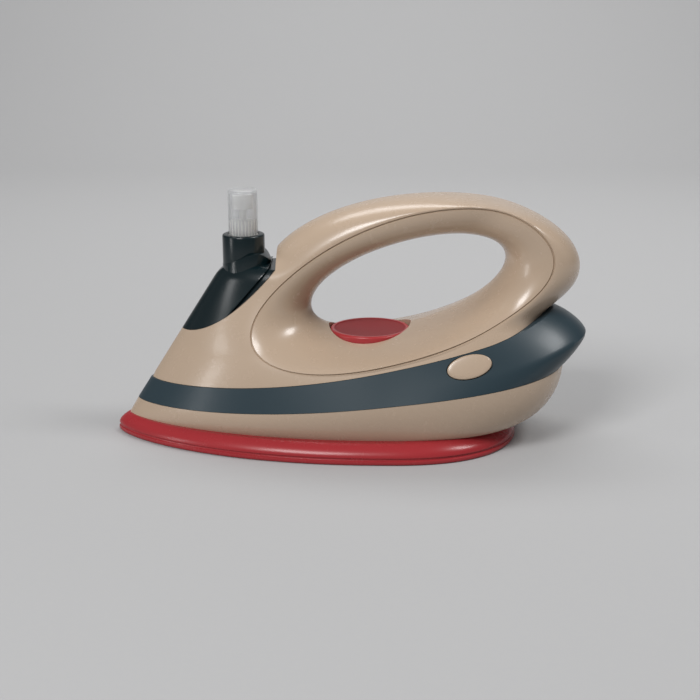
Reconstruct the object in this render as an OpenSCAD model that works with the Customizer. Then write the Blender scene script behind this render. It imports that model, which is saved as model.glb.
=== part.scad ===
// Toy spray iron: a two-half body with a closed handle on a banded base,
// a turning dial, a light button, a fine-mist pump under a cap and a battery box.
// The nose points along -X, the sole lies on z = 0.

/* [Body] */
// Length from the nose of the sole to the tail of the band
body_length = 200; // [194:1:210]
// Width of the sole
body_width = 94; // [90:1:102]
// Height of the sole plate
sole_height = 8; // [7:0.5:9]
// Wall thickness of the shells
wall = 2; // [1.6:0.1:2.4]
// Lean of the front line, run over rise
front_lean = 0.64; // [0.6:0.01:0.68]

/* [Handle] */
// Length of the hand hole
hole_length = 84.5; // [76:0.5:88]
// Height of the hand hole across its tilt
hole_height = 34.5; // [30:0.5:36]
// Tilt of the hand hole
hole_tilt = 16.9; // [15:0.1:18]
// Width of the handle bar
handle_width = 34; // [30:1:40]
// Height of the handle top above the table
handle_top = 102.4; // [100:0.2:106]
// Depth of the line around the handle
line_depth = 0.8; // [0.4:0.1:1]

/* [Dial] */
// Diameter of the temperature dial
dial_diameter = 34; // [30:1:36]
// Height of the dial face above the table
dial_top = 45.7; // [45:0.1:47]
// Diameter of the sleeve that the dial turns on
sleeve_diameter = 18; // [16:0.5:20]

/* [Button] */
// Length of the light button
button_length = 18.3; // [15:0.1:20]
// Height of the light button
button_height = 9.7; // [8:0.1:10]
// Travel of the light button
button_travel = 1.2; // [0.8:0.1:1.5]

/* [Spray pump] */
// Outer diameter of the collar on the housing
collar_diameter = 17.7; // [17:0.1:20]
// Height of the top of the collar above the table
collar_top = 86; // [85:0.2:88]
// Outer diameter of the clear cap
cap_diameter = 12.4; // [12.2:0.1:12.8]
// Height of the clear cap
cap_height = 18.7; // [18:0.1:20]
// Stroke of the spray actuator
pump_stroke = 4; // [3:0.1:4]
// Largest diameter of the water tank
tank_diameter = 22; // [18:0.5:23]

/* [Battery] */
// Diameter of one cell
cell_diameter = 14.5; // [14:0.1:14.5]
// Length of one cell
cell_length = 50.5; // [48:0.5:50.5]

/* [Hidden] */
nose_x = -body_length / 2;
tail_x = body_length / 2;
half_width = body_width / 2;
// where the plan is widest
beam_x = 14.5;
// visible seam between pieces of the body
seam = 0.15;
// room around pieces that move
run_gap = 0.35;
// room in a turning or sliding round fit
fit_gap = 0.05;
// number of points around a plan outline
plan_steps = 64;

// powers of the plan outline: ogive front, full stern
front_rise = 2.1;
front_power = 0.7;
stern_rise = 3.2;
stern_power = 0.417;
heel_rise = 2.6;
heel_power = 0.476;

// upper body: half width at a height runs from base_half down to handle_half
base_half = half_width - 4;
handle_half = handle_width / 2;
waist_z = 50;
waist_soft = 11;

// hand hole, line around the handle, outer outline: three ellipses, the line bowed three times around
hole_x = 25;
hole_z = 65.9;
hole_a = hole_length / 2;
hole_b = hole_height / 2;
line_x = 23.3;
line_z = 66.5;
line_a = hole_a + 21.6;
line_b = hole_b + 9.6;
line_wave = 0.048;
line_turn = 93.8;
line_half = 1.1;
outer_x = 30.5;
outer_b = 33.9;
outer_z = handle_top - outer_b;
outer_a = tail_x - 33.3;
outer_tilt = 3.1;
rear_tuck = 4.2;
tuck_angle = -10;
tuck_width = 10;

// front of the handle, where the housing stands against it
notch_x = nose_x + 70.5;
pump_x = nose_x + 56.2;

// sole
lip_height = 2;
floor_z = 3.6;
rim_inset = 10.8;
heel_x = 71;

// base shell
base_bottom_half = half_width - 8;
base_heel_x = heel_x - 5;

// upper edge of the band, lifted towards the tail
band_lift = 0.02;
band_lift_x = tail_x - 42;

function clamp(v, low, high) = min(max(v, low), high);
function mix(a, b, f) = a + (b - a) * f;
function smooth(v) = let (c = clamp(v, 0, 1)) c * c * (3 - 2 * c);
function front_x(z) = nose_x + front_lean * z;
function band_low(x) = sole_height + 13.6 + 0.1025 * x + 0.00027 * x * x;
function band_high(x) =
    sole_height + 25.5 + 0.168 * x + 0.00066 * x * x + band_lift * pow(max(0, x - band_lift_x), 1.5);
function waist(z) = handle_half + (base_half - handle_half) / (1 + exp((z - waist_z) / waist_soft));
function nose_power(z) = front_power - 0.0074 * clamp(z - 40, 0, 40);

// share of the full half width at x, for a nose and a tail position
function ogive(t, power) = pow(max(0, 1 - pow(clamp(t, 0, 1), front_rise)), power);
function stern(t) = pow(max(0, 1 - pow(clamp(t, 0, 1), stern_rise)), stern_power);
function heel(t) = pow(max(0, 1 - pow(clamp(t, 0, 1), heel_rise)), heel_power);
function plan(x, nose, tail, power) =
    x < beam_x ? ogive((beam_x - x) / (beam_x - nose), power) : stern((x - beam_x) / (tail - beam_x));

// faces between rows of points; every row is a closed loop of n points
function loop_faces(a, b, n) =
    [for (k = [0:n - 1]) let (m = (k + 1) % n) each [[a + k, b + k, b + m], [a + k, b + m, a + m]]];

// solid through rows of points: open ends are capped, or the last row joins the first
module skin(rows, wrap = false) {
    n = len(rows[0]);
    last = len(rows) - 1;
    sides = [for (r = [0:last - 1]) each loop_faces(r * n, (r + 1) * n, n)];
    ends = wrap ? loop_faces(last * n, 0, n)
        : [[for (k = [0:n - 1]) k], [for (k = [0:n - 1]) last * n + n - 1 - k]];
    polyhedron(points = [for (r = rows) each r], faces = concat(sides, ends), convexity = 10);
}

// plan point number k on an outline with its own nose, tail and half width
function turn(k) = 360 * k / plan_steps;
function plan_x(k, nose, tail) =
    let (c = cos(turn(k))) c < 0 ? beam_x + (beam_x - nose) * c : beam_x + (tail - beam_x) * c;
function plan_side(k) = sin(turn(k)) < -0.0001 ? -1 : sin(turn(k)) > 0.0001 ? 1 : 0;

// flat outline of the sole, drawn in by an inset
function sole_row(z, inset) = [for (k = [0:plan_steps - 1])
    let (c = cos(turn(k)), t = abs(c), share = c < 0 ? ogive(t, front_power) : heel(t))
    [plan_x(k, nose_x + inset, heel_x - inset), plan_side(k) * (half_width - inset) * share, z]];

// base shell, from the sole (v = 0) to the band (v = 1)
function base_row(v, inset) =
    let (low_z = band_low(nose_x), nose = front_x(mix(sole_height, low_z, v)) + 1.2 * inset)
    let (tail = mix(base_heel_x, tail_at(0), sqrt(1 - pow(1 - v, 2))) - inset)
    let (half = mix(base_bottom_half, base_half, 1 - pow(1 - v, 2)) - inset)
    [for (k = [0:plan_steps - 1]) let (x = plan_x(k, nose, tail))
        [x, plan_side(k) * half * plan(x, nose, tail, front_power),
         mix(sole_height, band_low(x), v)]];

// trim band, from its lower edge (v = 0) to its upper edge (v = 1), with a rounded tail
tail_mid = 0.38;
tail_under = 9.5;
tail_over = 14;
function tail_at(v) = tail_x
    - (v < tail_mid ? tail_under * pow((tail_mid - v) / tail_mid, 1.3)
        : tail_over * pow((v - tail_mid) / (1 - tail_mid), 1.2));
function band_half(x, v) = mix(base_half, waist(band_high(x)), v);
function band_y(x, v, nose, tail, inset) =
    max(0, band_half(x, v) * plan(x, nose, tail, front_power) - inset);
function band_row(v, inset, ledge = 0) =
    let (nose = front_x(mix(band_low(nose_x), band_high(nose_x), v)) + 1.2 * inset)
    let (tail = tail_at(v) - 1.5 * inset)
    [for (k = [0:plan_steps - 1])
        let (x = plan_x(k, nose, tail), own = band_y(x, v, nose - 1.2 * inset, tail + 1.5 * inset, inset))
        let (y = ledge > 0 ? min(own, max(0, upper_y(x, band_high(x)) - ledge)) : own)
        [x, plan_side(k) * y, mix(band_low(x) + seam, band_high(x) - seam, v)]];

// angles up to the rear corner count from zero, the ones below it are negative
function wrapped(angle) = angle > 270 ? angle - 360 : angle;
// distance along a ray from the hole centre to an ellipse
function ray_ellipse(angle, ex, ez, a, b, tilt) =
    let (dx = hole_x - ex, dz = hole_z - ez, ct = cos(tilt), st = sin(tilt))
    let (u0 = (dx * ct + dz * st) / a, v0 = (dz * ct - dx * st) / b)
    let (u1 = cos(angle - tilt) / a, v1 = sin(angle - tilt) / b)
    let (aa = u1 * u1 + v1 * v1, bb = u0 * u1 + v0 * v1, cc = u0 * u0 + v0 * v0 - 1)
    (sqrt(bb * bb - aa * cc) - bb) / aa;
function ray_hole(angle) =
    ray_ellipse(angle, hole_x, hole_z, hole_a, hole_b, hole_tilt);
function ray_line(angle, inset) =
    ray_ellipse(angle, line_x, line_z, line_a - inset, line_b - inset, hole_tilt)
    * (1 + line_wave * cos(3 * (unturn(angle) - line_turn)));
function ray_outer(angle, inset) =
    ray_ellipse(angle, outer_x, outer_z, outer_a - inset, outer_b - inset, outer_tilt)
    - rear_tuck * exp(-pow((wrapped(angle) - tuck_angle) / tuck_width, 2));
// to the slanting front line
function ray_front(angle, inset) =
    (hole_x - front_x(hole_z) - 1.2 * inset) / (front_lean * sin(angle) - cos(angle));
// to the upper edge of the band
function ray_band(angle, low = 10, high = 200, count = 36) = let (mid = (low + high) / 2)
    count == 0 ? mid
    : hole_z + mid * sin(angle) > band_high(hole_x + mid * cos(angle)) ? ray_band(angle, mid, high, count - 1)
    : ray_band(angle, low, mid, count - 1);

// corners of the upper body seen from the hole centre
function angle_to(x, z) = (atan2(z - hole_z, x - hole_x) + 360) % 360;
notch_z = 79;
brow_z = 74;
front_foot_z = sole_height + 15.8;
angle_notch = angle_to(notch_x, notch_z);
angle_brow = angle_to(front_x(brow_z), brow_z);
angle_nose = angle_to(front_x(front_foot_z), front_foot_z);
// where the back of the handle comes down on the band
function crossing(low, high, count) = let (mid = (low + high) / 2)
    count == 0 ? mid
    : ray_outer(mid, 0) > ray_band(mid) ? crossing(mid, high, count - 1) : crossing(low, mid, count - 1);
angle_rear = crossing(-60, 0, 24);
function ray_brow(angle, inset) =
    let (x0 = notch_x, z0 = notch_z - inset, slope = (notch_z - brow_z) / (notch_x - front_x(brow_z)))
    (z0 - hole_z + slope * (hole_x - x0)) / (sin(angle) - slope * cos(angle));

// pieces of the outline: 0 handle top, 1 brow, 2 front line, 3 band edge
function ray_edge(angle, piece, inset) =
    piece == 0 ? ray_outer(angle, inset)
    : piece == 1 ? min(ray_brow(angle, inset), ray_front(angle, inset))
    : piece == 2 ? ray_front(angle, inset)
    : inset > 0 && angle > 270 ? min(ray_band(angle), ray_outer(angle, inset)) : ray_band(angle);
function spread(from, to, count, piece, bias = 1) = [for (k = [0:count - 1])
    let (f = 1 - pow(1 - k / count, bias), a0 = unturn(from), a1 = unturn(to))
    [returned(mix(a0, a1, f)), piece]];
// even steps around the tilted ellipse
function unturn(angle) = let (a = angle - hole_tilt, w = floor((a + 180) / 360))
    atan2(sin(a) * hole_a, cos(a) * hole_b) + 360 * w + hole_tilt;
function returned(angle) = let (a = angle - hole_tilt, w = floor((a + 180) / 360))
    atan2(sin(a) * hole_b, cos(a) * hole_a) + 360 * w + hole_tilt;
rays = concat(
    spread(angle_rear, angle_notch, 34, 0),
    spread(angle_notch, angle_brow, 3, 1),
    spread(angle_brow, angle_nose, 7, 2),
    spread(angle_nose, angle_rear + 330, 20, 3),
    spread(angle_rear + 330, angle_rear + 360, 12, 3, 1.7));

// rounding towards the outer outline of the handle; fades out below the tail and at the brow
fade_rear = 15;
fade_brow = 10;
function round_share(angle) = let (a = wrapped(angle))
    a < angle_rear ? smooth(1 - (angle_rear - a) / fade_rear)
    : a > angle_notch ? smooth(1 - (a - angle_notch) / fade_brow) : 1;
function round_off(angle, reach, inset) =
    let (start = ray_line(angle, inset), end = ray_outer(angle, inset))
    let (s = clamp((reach - start) / (end - start), 0, 1))
    1 - round_share(angle) * (1 - sqrt(1 - s * s));
function upper_tail(z) = tail_at(1) + 0.12 * pow(max(0, z - 50), 2);
function hull_y(x, z, inset) =
    max(-inset / 4, waist(z) * plan(x, front_x(z), upper_tail(z), nose_power(z)) - inset);
// half thickness of the upper body outside the line around the handle
function upper_y(x, z) =
    let (angle = atan2(z - hole_z, x - hole_x), reach = norm([x - hole_x, z - hole_z]))
    hull_y(x, z, 0) * round_off(angle, reach, 0);
function outside_y(angle, reach, inset) =
    let (x = hole_x + reach * cos(angle), z = hole_z + reach * sin(angle))
    hull_y(x, z, inset) * round_off(angle, reach, inset);

// one row of the upper body: bead from the hole (0) to the line (1), then out to the edge (2)
// the bead is round at the top of the handle and flat in the saddle; inside it is moved in by the wall
bead_flat = 1.25;
bead_round = 0.5;
bead_inset = 0.85;
function bead_share(f, angle) = let (power = bead_flat + bead_round * (1 + sin(angle)))
    pow(1 - pow(1 - f, power), 1 / power);
function bead_row(f, inset) = [for (r = rays)
    let (from = ray_hole(r[0]), line = ray_line(r[0], 0), move = bead_inset * inset)
    let (reach = mix(from, line - line_half, f) + move, top = outside_y(r[0], line + line_half, 0))
    [hole_x + reach * cos(r[0]), top * bead_share(f, r[0]) - move, hole_z + reach * sin(r[0])]];
function line_row(depth) = [for (r = rays)
    let (reach = ray_line(r[0], 0), top = outside_y(r[0], reach + line_half, 0))
    [hole_x + reach * cos(r[0]), top - depth, hole_z + reach * sin(r[0])]];
function edge_row(f, inset, drop = 0) = [for (r = rays)
    let (edge = max(ray_line(r[0], inset) + line_half + 0.3, ray_edge(r[0], r[1], inset)))
    let (reach = mix(ray_line(r[0], inset) + line_half, edge, f))
    let (closed = f == 1 && r[1] < 3)
    [hole_x + reach * cos(r[0]), closed ? 0 : outside_y(r[0], reach, inset),
     hole_z + reach * sin(r[0]) - (r[1] == 3 ? drop : 0)]];
function laid(row, y) = [for (p = row) [p[0], y, p[2]]];

// solid half of the upper body, and the room inside it
module upper_solid() {
    rows = concat(
        [for (f = [0, 0.04, 0.14, 0.3, 0.52, 0.78, 1]) bead_row(f, 0)],
        [line_row(line_depth)],
        [for (f = [0, 0.3, 0.6, 0.85, 1]) edge_row(f, 0)]);
    skin(concat(rows, [laid(edge_row(1, 0), 0)]), true);
}
module upper_room() {
    rows = concat(
        [for (f = [0, 0.14, 0.45, 0.9]) bead_row(f, wall)],
        [for (f = [0.4, 0.8, 1]) edge_row(f, wall)],
        [edge_row(1, wall, wall)]);
    skin(concat([laid(bead_row(0, wall), -wall)], rows, [laid(edge_row(1, wall, wall), -wall)]), true);
}

// screws that join the two halves: x, z of each
shell_points = [[12.2, handle_top - 11.4], [61.8, handle_top - 9.2], [tail_x - 17.9, 67.8],
    [nose_x + 75.2, 61.1], [nose_x + 37.2, 34.7]];
shell_boss = 4.2;
shell_bore = 1.35;
shell_head = 2.7;
shell_seat = 4;
// screw posts that reach down to the sole: x, y of each
front_post = [nose_x + 40, 9];
rear_post = [26, 28];
post_radius = 3.6;
post_top = 36;
rear_post_top = 40;
post_gap = 0.1;
post_bore = 1.35;
post_depth = 12;

// dial seat in the saddle
dial_x = 9;
dial_radius = dial_diameter / 2;
dial_thick = 3.7;
dial_bottom = dial_top - dial_thick;
seat_z = dial_bottom - 0.5;
sleeve_radius = sleeve_diameter / 2;
bush_radius = sleeve_radius + 4;
bush_flange = bush_radius + 2;
bush_height = 7.2;
bush_flange_height = 1.2;
pocket_height = 14;

// side outline of the housing: the foot of the housing rises from the front line to the handle
foot_z = 45.6;
foot_rise = brow_z - 0.5 - foot_z;
function foot_at(x) =
    let (t = clamp((x - front_x(foot_z)) / (notch_x - front_x(foot_z)), 0, 1))
    foot_z + foot_rise * pow(t, 1.75);
module above_foot(lower) {
    steps = 15;
    xs = [for (k = [0:steps]) mix(front_x(foot_z) - 12, notch_x, k / steps)];
    side = concat([for (x = xs) [x, foot_at(x) - lower]], [[notch_x, 120], [xs[0], 120]]);
    rotate([90, 0, 0])
        linear_extrude(height = body_width, center = true)
            polygon(side);
}

module along_y(x, z) {
    translate([x, 0, z])
        rotate([-90, 0, 0])
            children();
}

module half_bosses() {
    for (p = shell_points)
        along_y(p[0], p[1])
            cylinder(r = shell_boss, h = half_width, $fn = 20);
    translate([dial_x, 0, seat_z - bush_height + 1])
        cylinder(r = dial_radius + 2.6, h = 2 * bush_height, $fn = 48);
    translate([front_post[0] - 1, front_post[1], 0])
        cube([2, half_width, post_top]);
    translate([rear_post[0], rear_post[1], rear_post_top - 4])
        cylinder(r = post_radius + 0.5, h = 20, $fn = 20);
    translate([notch_x - 1, -2, foot_z])
        cube([wall + 1, half_width, handle_top - foot_z]);
}
module half_posts() {
    translate([front_post[0], front_post[1], floor_z + post_gap])
        cylinder(r = post_radius, h = post_top - floor_z, $fn = 20);
    translate([rear_post[0], rear_post[1], floor_z + post_gap])
        cylinder(r = post_radius, h = rear_post_top - floor_z, $fn = 20);
}
module dial_pocket() {
    translate([dial_x, 0, seat_z])
        cylinder(r = dial_radius + run_gap, h = pocket_height, $fn = 64);
    translate([dial_x, 0, seat_z - bush_flange_height - fit_gap])
        cylinder(r = bush_flange + fit_gap, h = pocket_height, $fn = 48);
    translate([dial_x, 0, 20])
        cylinder(r = bush_radius + fit_gap, h = seat_z - 20 + pocket_height, $fn = 48);
}
module post_bores() {
    for (p = [front_post, rear_post])
        translate([p[0], p[1], 0])
            cylinder(r = post_bore, h = floor_z + post_depth, $fn = 16);
}

// one half of the upper body, lying on the side of positive y
module half_shell(screw_side) {
    resize([0, 0, 0])
        difference() {
            union() {
                difference() {
                    upper_solid();
                    difference() {
                        upper_room();
                        half_bosses();
                    }
                }
                half_posts();
            }
            above_foot(seam);
            dial_pocket();
            post_bores();
            for (p = shell_points)
                along_y(p[0], p[1])
                    translate([0, 0, -1])
                        cylinder(r = shell_bore, h = screw_side ? 60 : 9, $fn = 16);
            if (screw_side)
                for (p = shell_points)
                    along_y(p[0], p[1])
                        translate([0, 0, shell_seat])
                            cylinder(r = shell_head + 0.3, h = 60, $fn = 20);
        }
}

beige = [0.86, 0.80, 0.68];
teal = [0.16, 0.24, 0.28];
red = [0.72, 0.08, 0.08];
steel = [0.72, 0.73, 0.75];
white = [0.94, 0.94, 0.93];

module left_shell() {
    color(beige)
        mirror([0, 1, 0])
            half_shell(false);
}

module right_shell() {
    color(beige)
        half_shell(true);
}

// pan-head screw standing on its head, point up
module screw(head_r, head_h, shank_r, length) {
    rotate_extrude($fn = 24)
        polygon([[0, 0], [head_r * 0.8, 0], [head_r, head_h * 0.4], [head_r, head_h], [shank_r, head_h],
            [shank_r, length - shank_r], [0, length]]);
}

shell_screw_length = 12;
module shell_screws() {
    color(steel)
        for (p = shell_points)
            along_y(p[0], p[1])
                translate([0, 0, shell_seat + 2])
                    rotate([180, 0, 0])
                        screw(shell_head, 1.9, shell_bore - fit_gap, shell_screw_length);
}

screw_sink = 0.4;
base_screw_head = 1.5;
module base_screws() {
    color(steel)
        for (p = [front_post, rear_post], side = [-1, 1])
            translate([p[0], side * p[1], screw_sink])
                screw(2.7, base_screw_head, post_bore - fit_gap, 12);
}

// red sole: lower lip, fine groove, sloping flank, flat tray inside
bay_front = -13.2;
spring_room = 6.1;
bay_back = bay_front + cell_length + spring_room;
bay_half = 15.4;
door_front = bay_front - 1.2;
door_front_gap = 1.1;
door_back = bay_back + 9.6;
door_screw_x = door_back - 4;
door_half = 17;
door_bottom = 0.3;
door_thick = 1.9;
hinge_x = door_front - 1.8;
hinge_z = 1.5;
hinge_radius = 1.1;
hinge_half = 6;

module sole_plate() {
    groove_z = lip_height + 0.35;
    rows = concat(
        [sole_row(0, 1), sole_row(0.8, 0), sole_row(lip_height, 0), sole_row(groove_z, 0.7)],
        [sole_row(groove_z + 0.5, 0.7), sole_row(groove_z + 0.8, 0.2)],
        [for (f = [0.4, 0.75, 1]) sole_row(mix(groove_z + 0.8, sole_height, f), mix(0.2, 4.6, pow(f, 1.8)))],
        [sole_row(sole_height, rim_inset), sole_row(floor_z, rim_inset)]);
    color(red)
        difference() {
            union() {
                skin(rows);
                translate([door_screw_x, 0, floor_z - 0.1])
                    cylinder(r = 3.4, h = 5, $fn = 24);
            }
            for (p = [front_post, rear_post], side = [-1, 1])
                translate([p[0], side * p[1], -1]) {
                    cylinder(r = 1.6, h = 10, $fn = 24);
                    cylinder(r = 3, h = 1 + screw_sink + base_screw_head, $fn = 24);
                }
            translate([door_front - door_front_gap, -door_half - 0.4, -1])
                cube([door_back + 0.4 - door_front + door_front_gap, 2 * door_half + 0.8,
                    1 + door_bottom + door_thick + 0.1]);
            translate([bay_front, -bay_half, -1])
                cube([bay_back - bay_front, 2 * bay_half, 10]);
            along_y(hinge_x, hinge_z)
                cylinder(r = hinge_radius + fit_gap, h = 2 * hinge_half + 0.6, center = true, $fn = 32);
            translate([hinge_x - hinge_radius - fit_gap, -hinge_half - 0.3, -1])
                cube([2.4, 2 * hinge_half + 0.6, 1 + hinge_z]);
            translate([hinge_x, -hinge_half - 0.3, -1])
                cube([2, 2 * hinge_half + 0.6, 1 + door_bottom + door_thick + 0.1]);
            translate([door_screw_x, 0, -1])
                cylinder(r = 1.6, h = 20, $fn = 24);
        }
}

module battery_door() {
    color(red)
        difference() {
            union() {
                translate([door_front, -door_half, door_bottom])
                    cube([door_back - door_front, 2 * door_half, door_thick]);
                translate([hinge_x, -hinge_half, hinge_z - 0.3])
                    cube([4, 2 * hinge_half, 1]);
                along_y(hinge_x, hinge_z)
                    cylinder(r = hinge_radius, h = 2 * hinge_half, center = true, $fn = 32);
            }
            translate([door_screw_x, 0, -1])
                cylinder(r = 1.25, h = 10, $fn = 24);
            translate([door_screw_x, 0, -1])
                cylinder(r = 2.5, h = 1 + door_bottom + 1.1, $fn = 24);
        }
}

module battery_door_screw() {
    color(steel)
        translate([door_screw_x, 0, door_bottom + 0.1])
            screw(2.4, 1, 1.2, 6.5);
}

module base_shell() {
    outer = [for (v = [0, 0.05, 0.15, 0.32, 0.6, 1]) base_row(v, 0)];
    inner = [for (v = [1, 0.5, 0.15, 0]) base_row(v, wall)];
    color(beige)
        skin(concat(outer, inner), true);
}

// light button in the band: place, lean with the band face and tilt with its edges
button_x = 49.9;
button_z = 38.4;
button_lean = 24;
button_tilt = 14;
button_y = -band_surface(button_x, button_z);
function band_surface(x, z) =
    let (v = (z - band_low(x)) / (band_high(x) - band_low(x)))
    band_y(x, v, front_x(mix(band_low(nose_x), band_high(nose_x), v)), tail_at(v), 0);
button_flange = 1.3;
button_proud = 0.9;
board_depth = 10;
board_thick = 1.6;
switch_screw_reach = 15;
switch_boss = 3;
switch_size = 6;
switch_height = 3.3;
switch_top = board_depth - switch_height;
plunger_radius = 1.7;
plunger_top = switch_top - button_travel - 0.1;

// local frame of the button: z runs inwards, x along the band
module at_button() {
    translate([button_x, button_y, button_z])
        rotate([-90 - button_lean, 0, 0])
            rotate([0, 0, -button_tilt])
                children();
}
module oval(grow, height) {
    linear_extrude(height = height)
        scale([1, (button_height + 2 * grow) / (button_length + 2 * grow)])
            circle(r = button_length / 2 + grow, $fn = 48);
}

module trim_band() {
    heights = [0, 0.08, 0.22, tail_mid, 0.6, 0.8, 0.92, 1];
    outer = [for (v = heights) band_row(v, 0)];
    inner = [for (v = [0.92, 0.5, 0]) band_row(v, wall)];
    ledge = [band_row(1, wall, 1.4)];
    color(teal)
        resize([0, 0, 0])
            difference() {
                union() {
                    skin(concat(outer, ledge, inner), true);
                    intersection() {
                        skin(outer);
                        at_button()
                            for (side = [-1, 1])
                                translate([side * switch_screw_reach, 0, -4])
                                    cylinder(r = switch_boss, h = board_depth + 4, $fn = 20);
                    }
                }
                at_button()
                    translate([0, 0, -6])
                        oval(run_gap, 9);
                at_button()
                    for (side = [-1, 1])
                        translate([side * switch_screw_reach, 0, board_depth - 6])
                            cylinder(r = 1.1, h = 20, $fn = 16);
            }
}

module light_button() {
    color(beige)
        at_button() {
            translate([0, 0, -button_proud])
                oval(0, button_proud + wall + 2.6);
            translate([0, 0, wall + 1.3])
                oval(button_flange, 1.2);
            translate([0, 0, wall + 2])
                cylinder(r = 2, h = plunger_top - wall - 2, $fn = 32);
        }
}

module push_switch() {
    color([0.12, 0.12, 0.13])
        at_button()
            difference() {
                translate([-switch_size / 2, -switch_size / 2, switch_top])
                    cube([switch_size, switch_size, switch_height]);
                translate([0, 0, switch_top - 1])
                    cylinder(r = plunger_radius + fit_gap, h = switch_height + 0.4, $fn = 32);
            }
}

module switch_plunger() {
    color(white)
        at_button()
            translate([0, 0, plunger_top])
                cylinder(r = plunger_radius, h = switch_top + 1 - plunger_top, $fn = 32);
}

module switch_board() {
    color([0.1, 0.35, 0.2])
        at_button()
            difference() {
                translate([-switch_screw_reach - 3, -5, board_depth])
                    cube([2 * switch_screw_reach + 6, 10, board_thick]);
                for (side = [-1, 1])
                    translate([side * switch_screw_reach, 0, board_depth - 1])
                        cylinder(r = 1.2, h = 5, $fn = 24);
            }
}

module switch_screws() {
    color(steel)
        at_button()
            for (side = [-1, 1])
                translate([side * switch_screw_reach, 0, board_depth + board_thick + 1.2])
                    rotate([180, 0, 0])
                        screw(2, 1.2, 1.05, 6.5);
}

// dark housing at the front of the handle: slanted front, rounded shoulder, round collar
shoulder_z = brow_z - 6;
function shoulder(z) = z <= shoulder_z ? 0
    : 4.5 * (1 - sqrt(max(0, 1 - pow((z - shoulder_z) / (brow_z - shoulder_z), 2))));
housing_back = notch_x - seam;
function housing_row(z, inset, short) =
    let (pull = inset + shoulder(z), nose = front_x(z) + 1.2 * pull, back = housing_back - short)
    let (count = 14, side = [for (k = [0:count]) let (c = 1 - cos(90 * k / count)) mix(nose, back, c)])
    let (near = [for (x = side) [x, -max(0, hull_y(x, z, pull)), z]])
    concat(near, [for (k = [count:-1:1]) [near[k][0], -near[k][1], z]]);
module housing_solid(inset, short, top = brow_z) {
    heights = [40, 46, 52, 58, 63, shoulder_z, 70.5, 72.4, 73.5];
    skin([for (z = heights) if (z < top) housing_row(z, inset, short)]);
}
// pod: the front of the housing stands proud of the part behind a leaning line
boot_x = pump_x + 1.2;
boot_radius = collar_diameter / 2 + 1.35;
boot_front_z = brow_z - 1.2;
boot_peak_z = brow_z + 6.5;
boot_peak_x = boot_x + 0.6 * boot_radius;
boot_back_z = brow_z + 1;
pod_step = 1.7;
pod_lean = 41;
module behind_pod(ahead) {
    translate([boot_x + boot_radius - ahead, 0, brow_z])
        rotate([0, pod_lean, 0])
            translate([0, -half_width, -half_width])
                cube(2 * half_width);
}
// boot around the collar, its rim rising to the back
module boot() {
    front = boot_x - boot_radius - 1;
    back = boot_x + boot_radius;
    intersection() {
        translate([boot_x, 0, 0])
            cylinder(r = boot_radius, h = collar_top, $fn = 64);
        rotate([90, 0, 0])
            linear_extrude(4 * boot_radius, center = true)
                polygon([[front, brow_z - 6], [front, boot_front_z], [boot_peak_x, boot_peak_z],
                    [back, boot_back_z], [back + 1, brow_z - 6]]);
    }
}
lip = 2.5;
tongue_room = 2.6;
tongue_inset = wall + tongue_room;
collar_depth = 4.5;
bore_ledge = collar_top - collar_depth;
ferrule_radius = cap_diameter / 2 + 0.1;
neck_radius = 5.2;
module nozzle_housing() {
    color(teal)
        resize([0, 0, 0])
            difference() {
                union() {
                    intersection() {
                        difference() {
                            housing_solid(0, 0);
                            behind_pod(0);
                        }
                        above_foot(0);
                    }
                    intersection() {
                        housing_solid(pod_step, 0, brow_z - 1);
                        above_foot(0);
                        behind_pod(1);
                    }
                    intersection() {
                        housing_solid(tongue_inset, tongue_inset);
                        above_foot(lip);
                    }
                    boot();
                    translate([pump_x, 0, brow_z - 6])
                        cylinder(d = collar_diameter, h = collar_top - brow_z + 6, $fn = 64);
                }
                translate([pump_x, 0, bore_ledge])
                    cylinder(r = ferrule_radius + 0.3, h = 20, $fn = 48);
                translate([pump_x, 0, 30])
                    cylinder(r = neck_radius + 0.1, h = 80, $fn = 48);
                translate([pump_x, 0, 20])
                    cylinder(r = tank_radius + 1, h = tank_shoulder - 20, $fn = 48);
                translate([pump_x, 0, tank_shoulder - 0.01])
                    cylinder(r1 = tank_radius + 1, r2 = neck_radius + 0.1, h = tank_slope, $fn = 48);
            }
}

// water tank hanging from its neck, with the pump inside
tank_radius = tank_diameter / 2;
tank_bottom = 30;
tank_shoulder = 48;
tank_slope = 12;
tank_neck = tank_shoulder + tank_slope;
neck_top = bore_ledge + 1.5;
tank_wall = 0.7;
module water_tank() {
    r = tank_radius;
    color([0.85, 0.9, 0.92])
        translate([pump_x, 0, 0])
            rotate_extrude($fn = 48)
                polygon([[0, tank_bottom], [r - 1.5, tank_bottom], [r, tank_bottom + 1.5],
                    [r, tank_shoulder - 1], [neck_radius, tank_neck - 1], [neck_radius, neck_top],
                    [neck_radius - tank_wall, neck_top], [neck_radius - tank_wall, tank_neck - 0.5],
                    [r - tank_wall, tank_shoulder - 1.3], [r - tank_wall, tank_bottom + 2],
                    [r - tank_wall - 1, tank_bottom + tank_wall], [0, tank_bottom + tank_wall]]);
}

module ring(r_out, r_in, z, height) {
    translate([pump_x, 0, z])
        difference() {
            cylinder(r = r_out, h = height, $fn = 48);
            translate([0, 0, -1])
                cylinder(r = r_in, h = height + 2, $fn = 48);
        }
}

gasket_z = neck_top + 0.05;
gasket_height = 0.5;
module neck_gasket() {
    color([0.2, 0.2, 0.2])
        ring(neck_radius - 0.1, neck_radius - tank_wall - 0.05, gasket_z, gasket_height);
}

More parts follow.
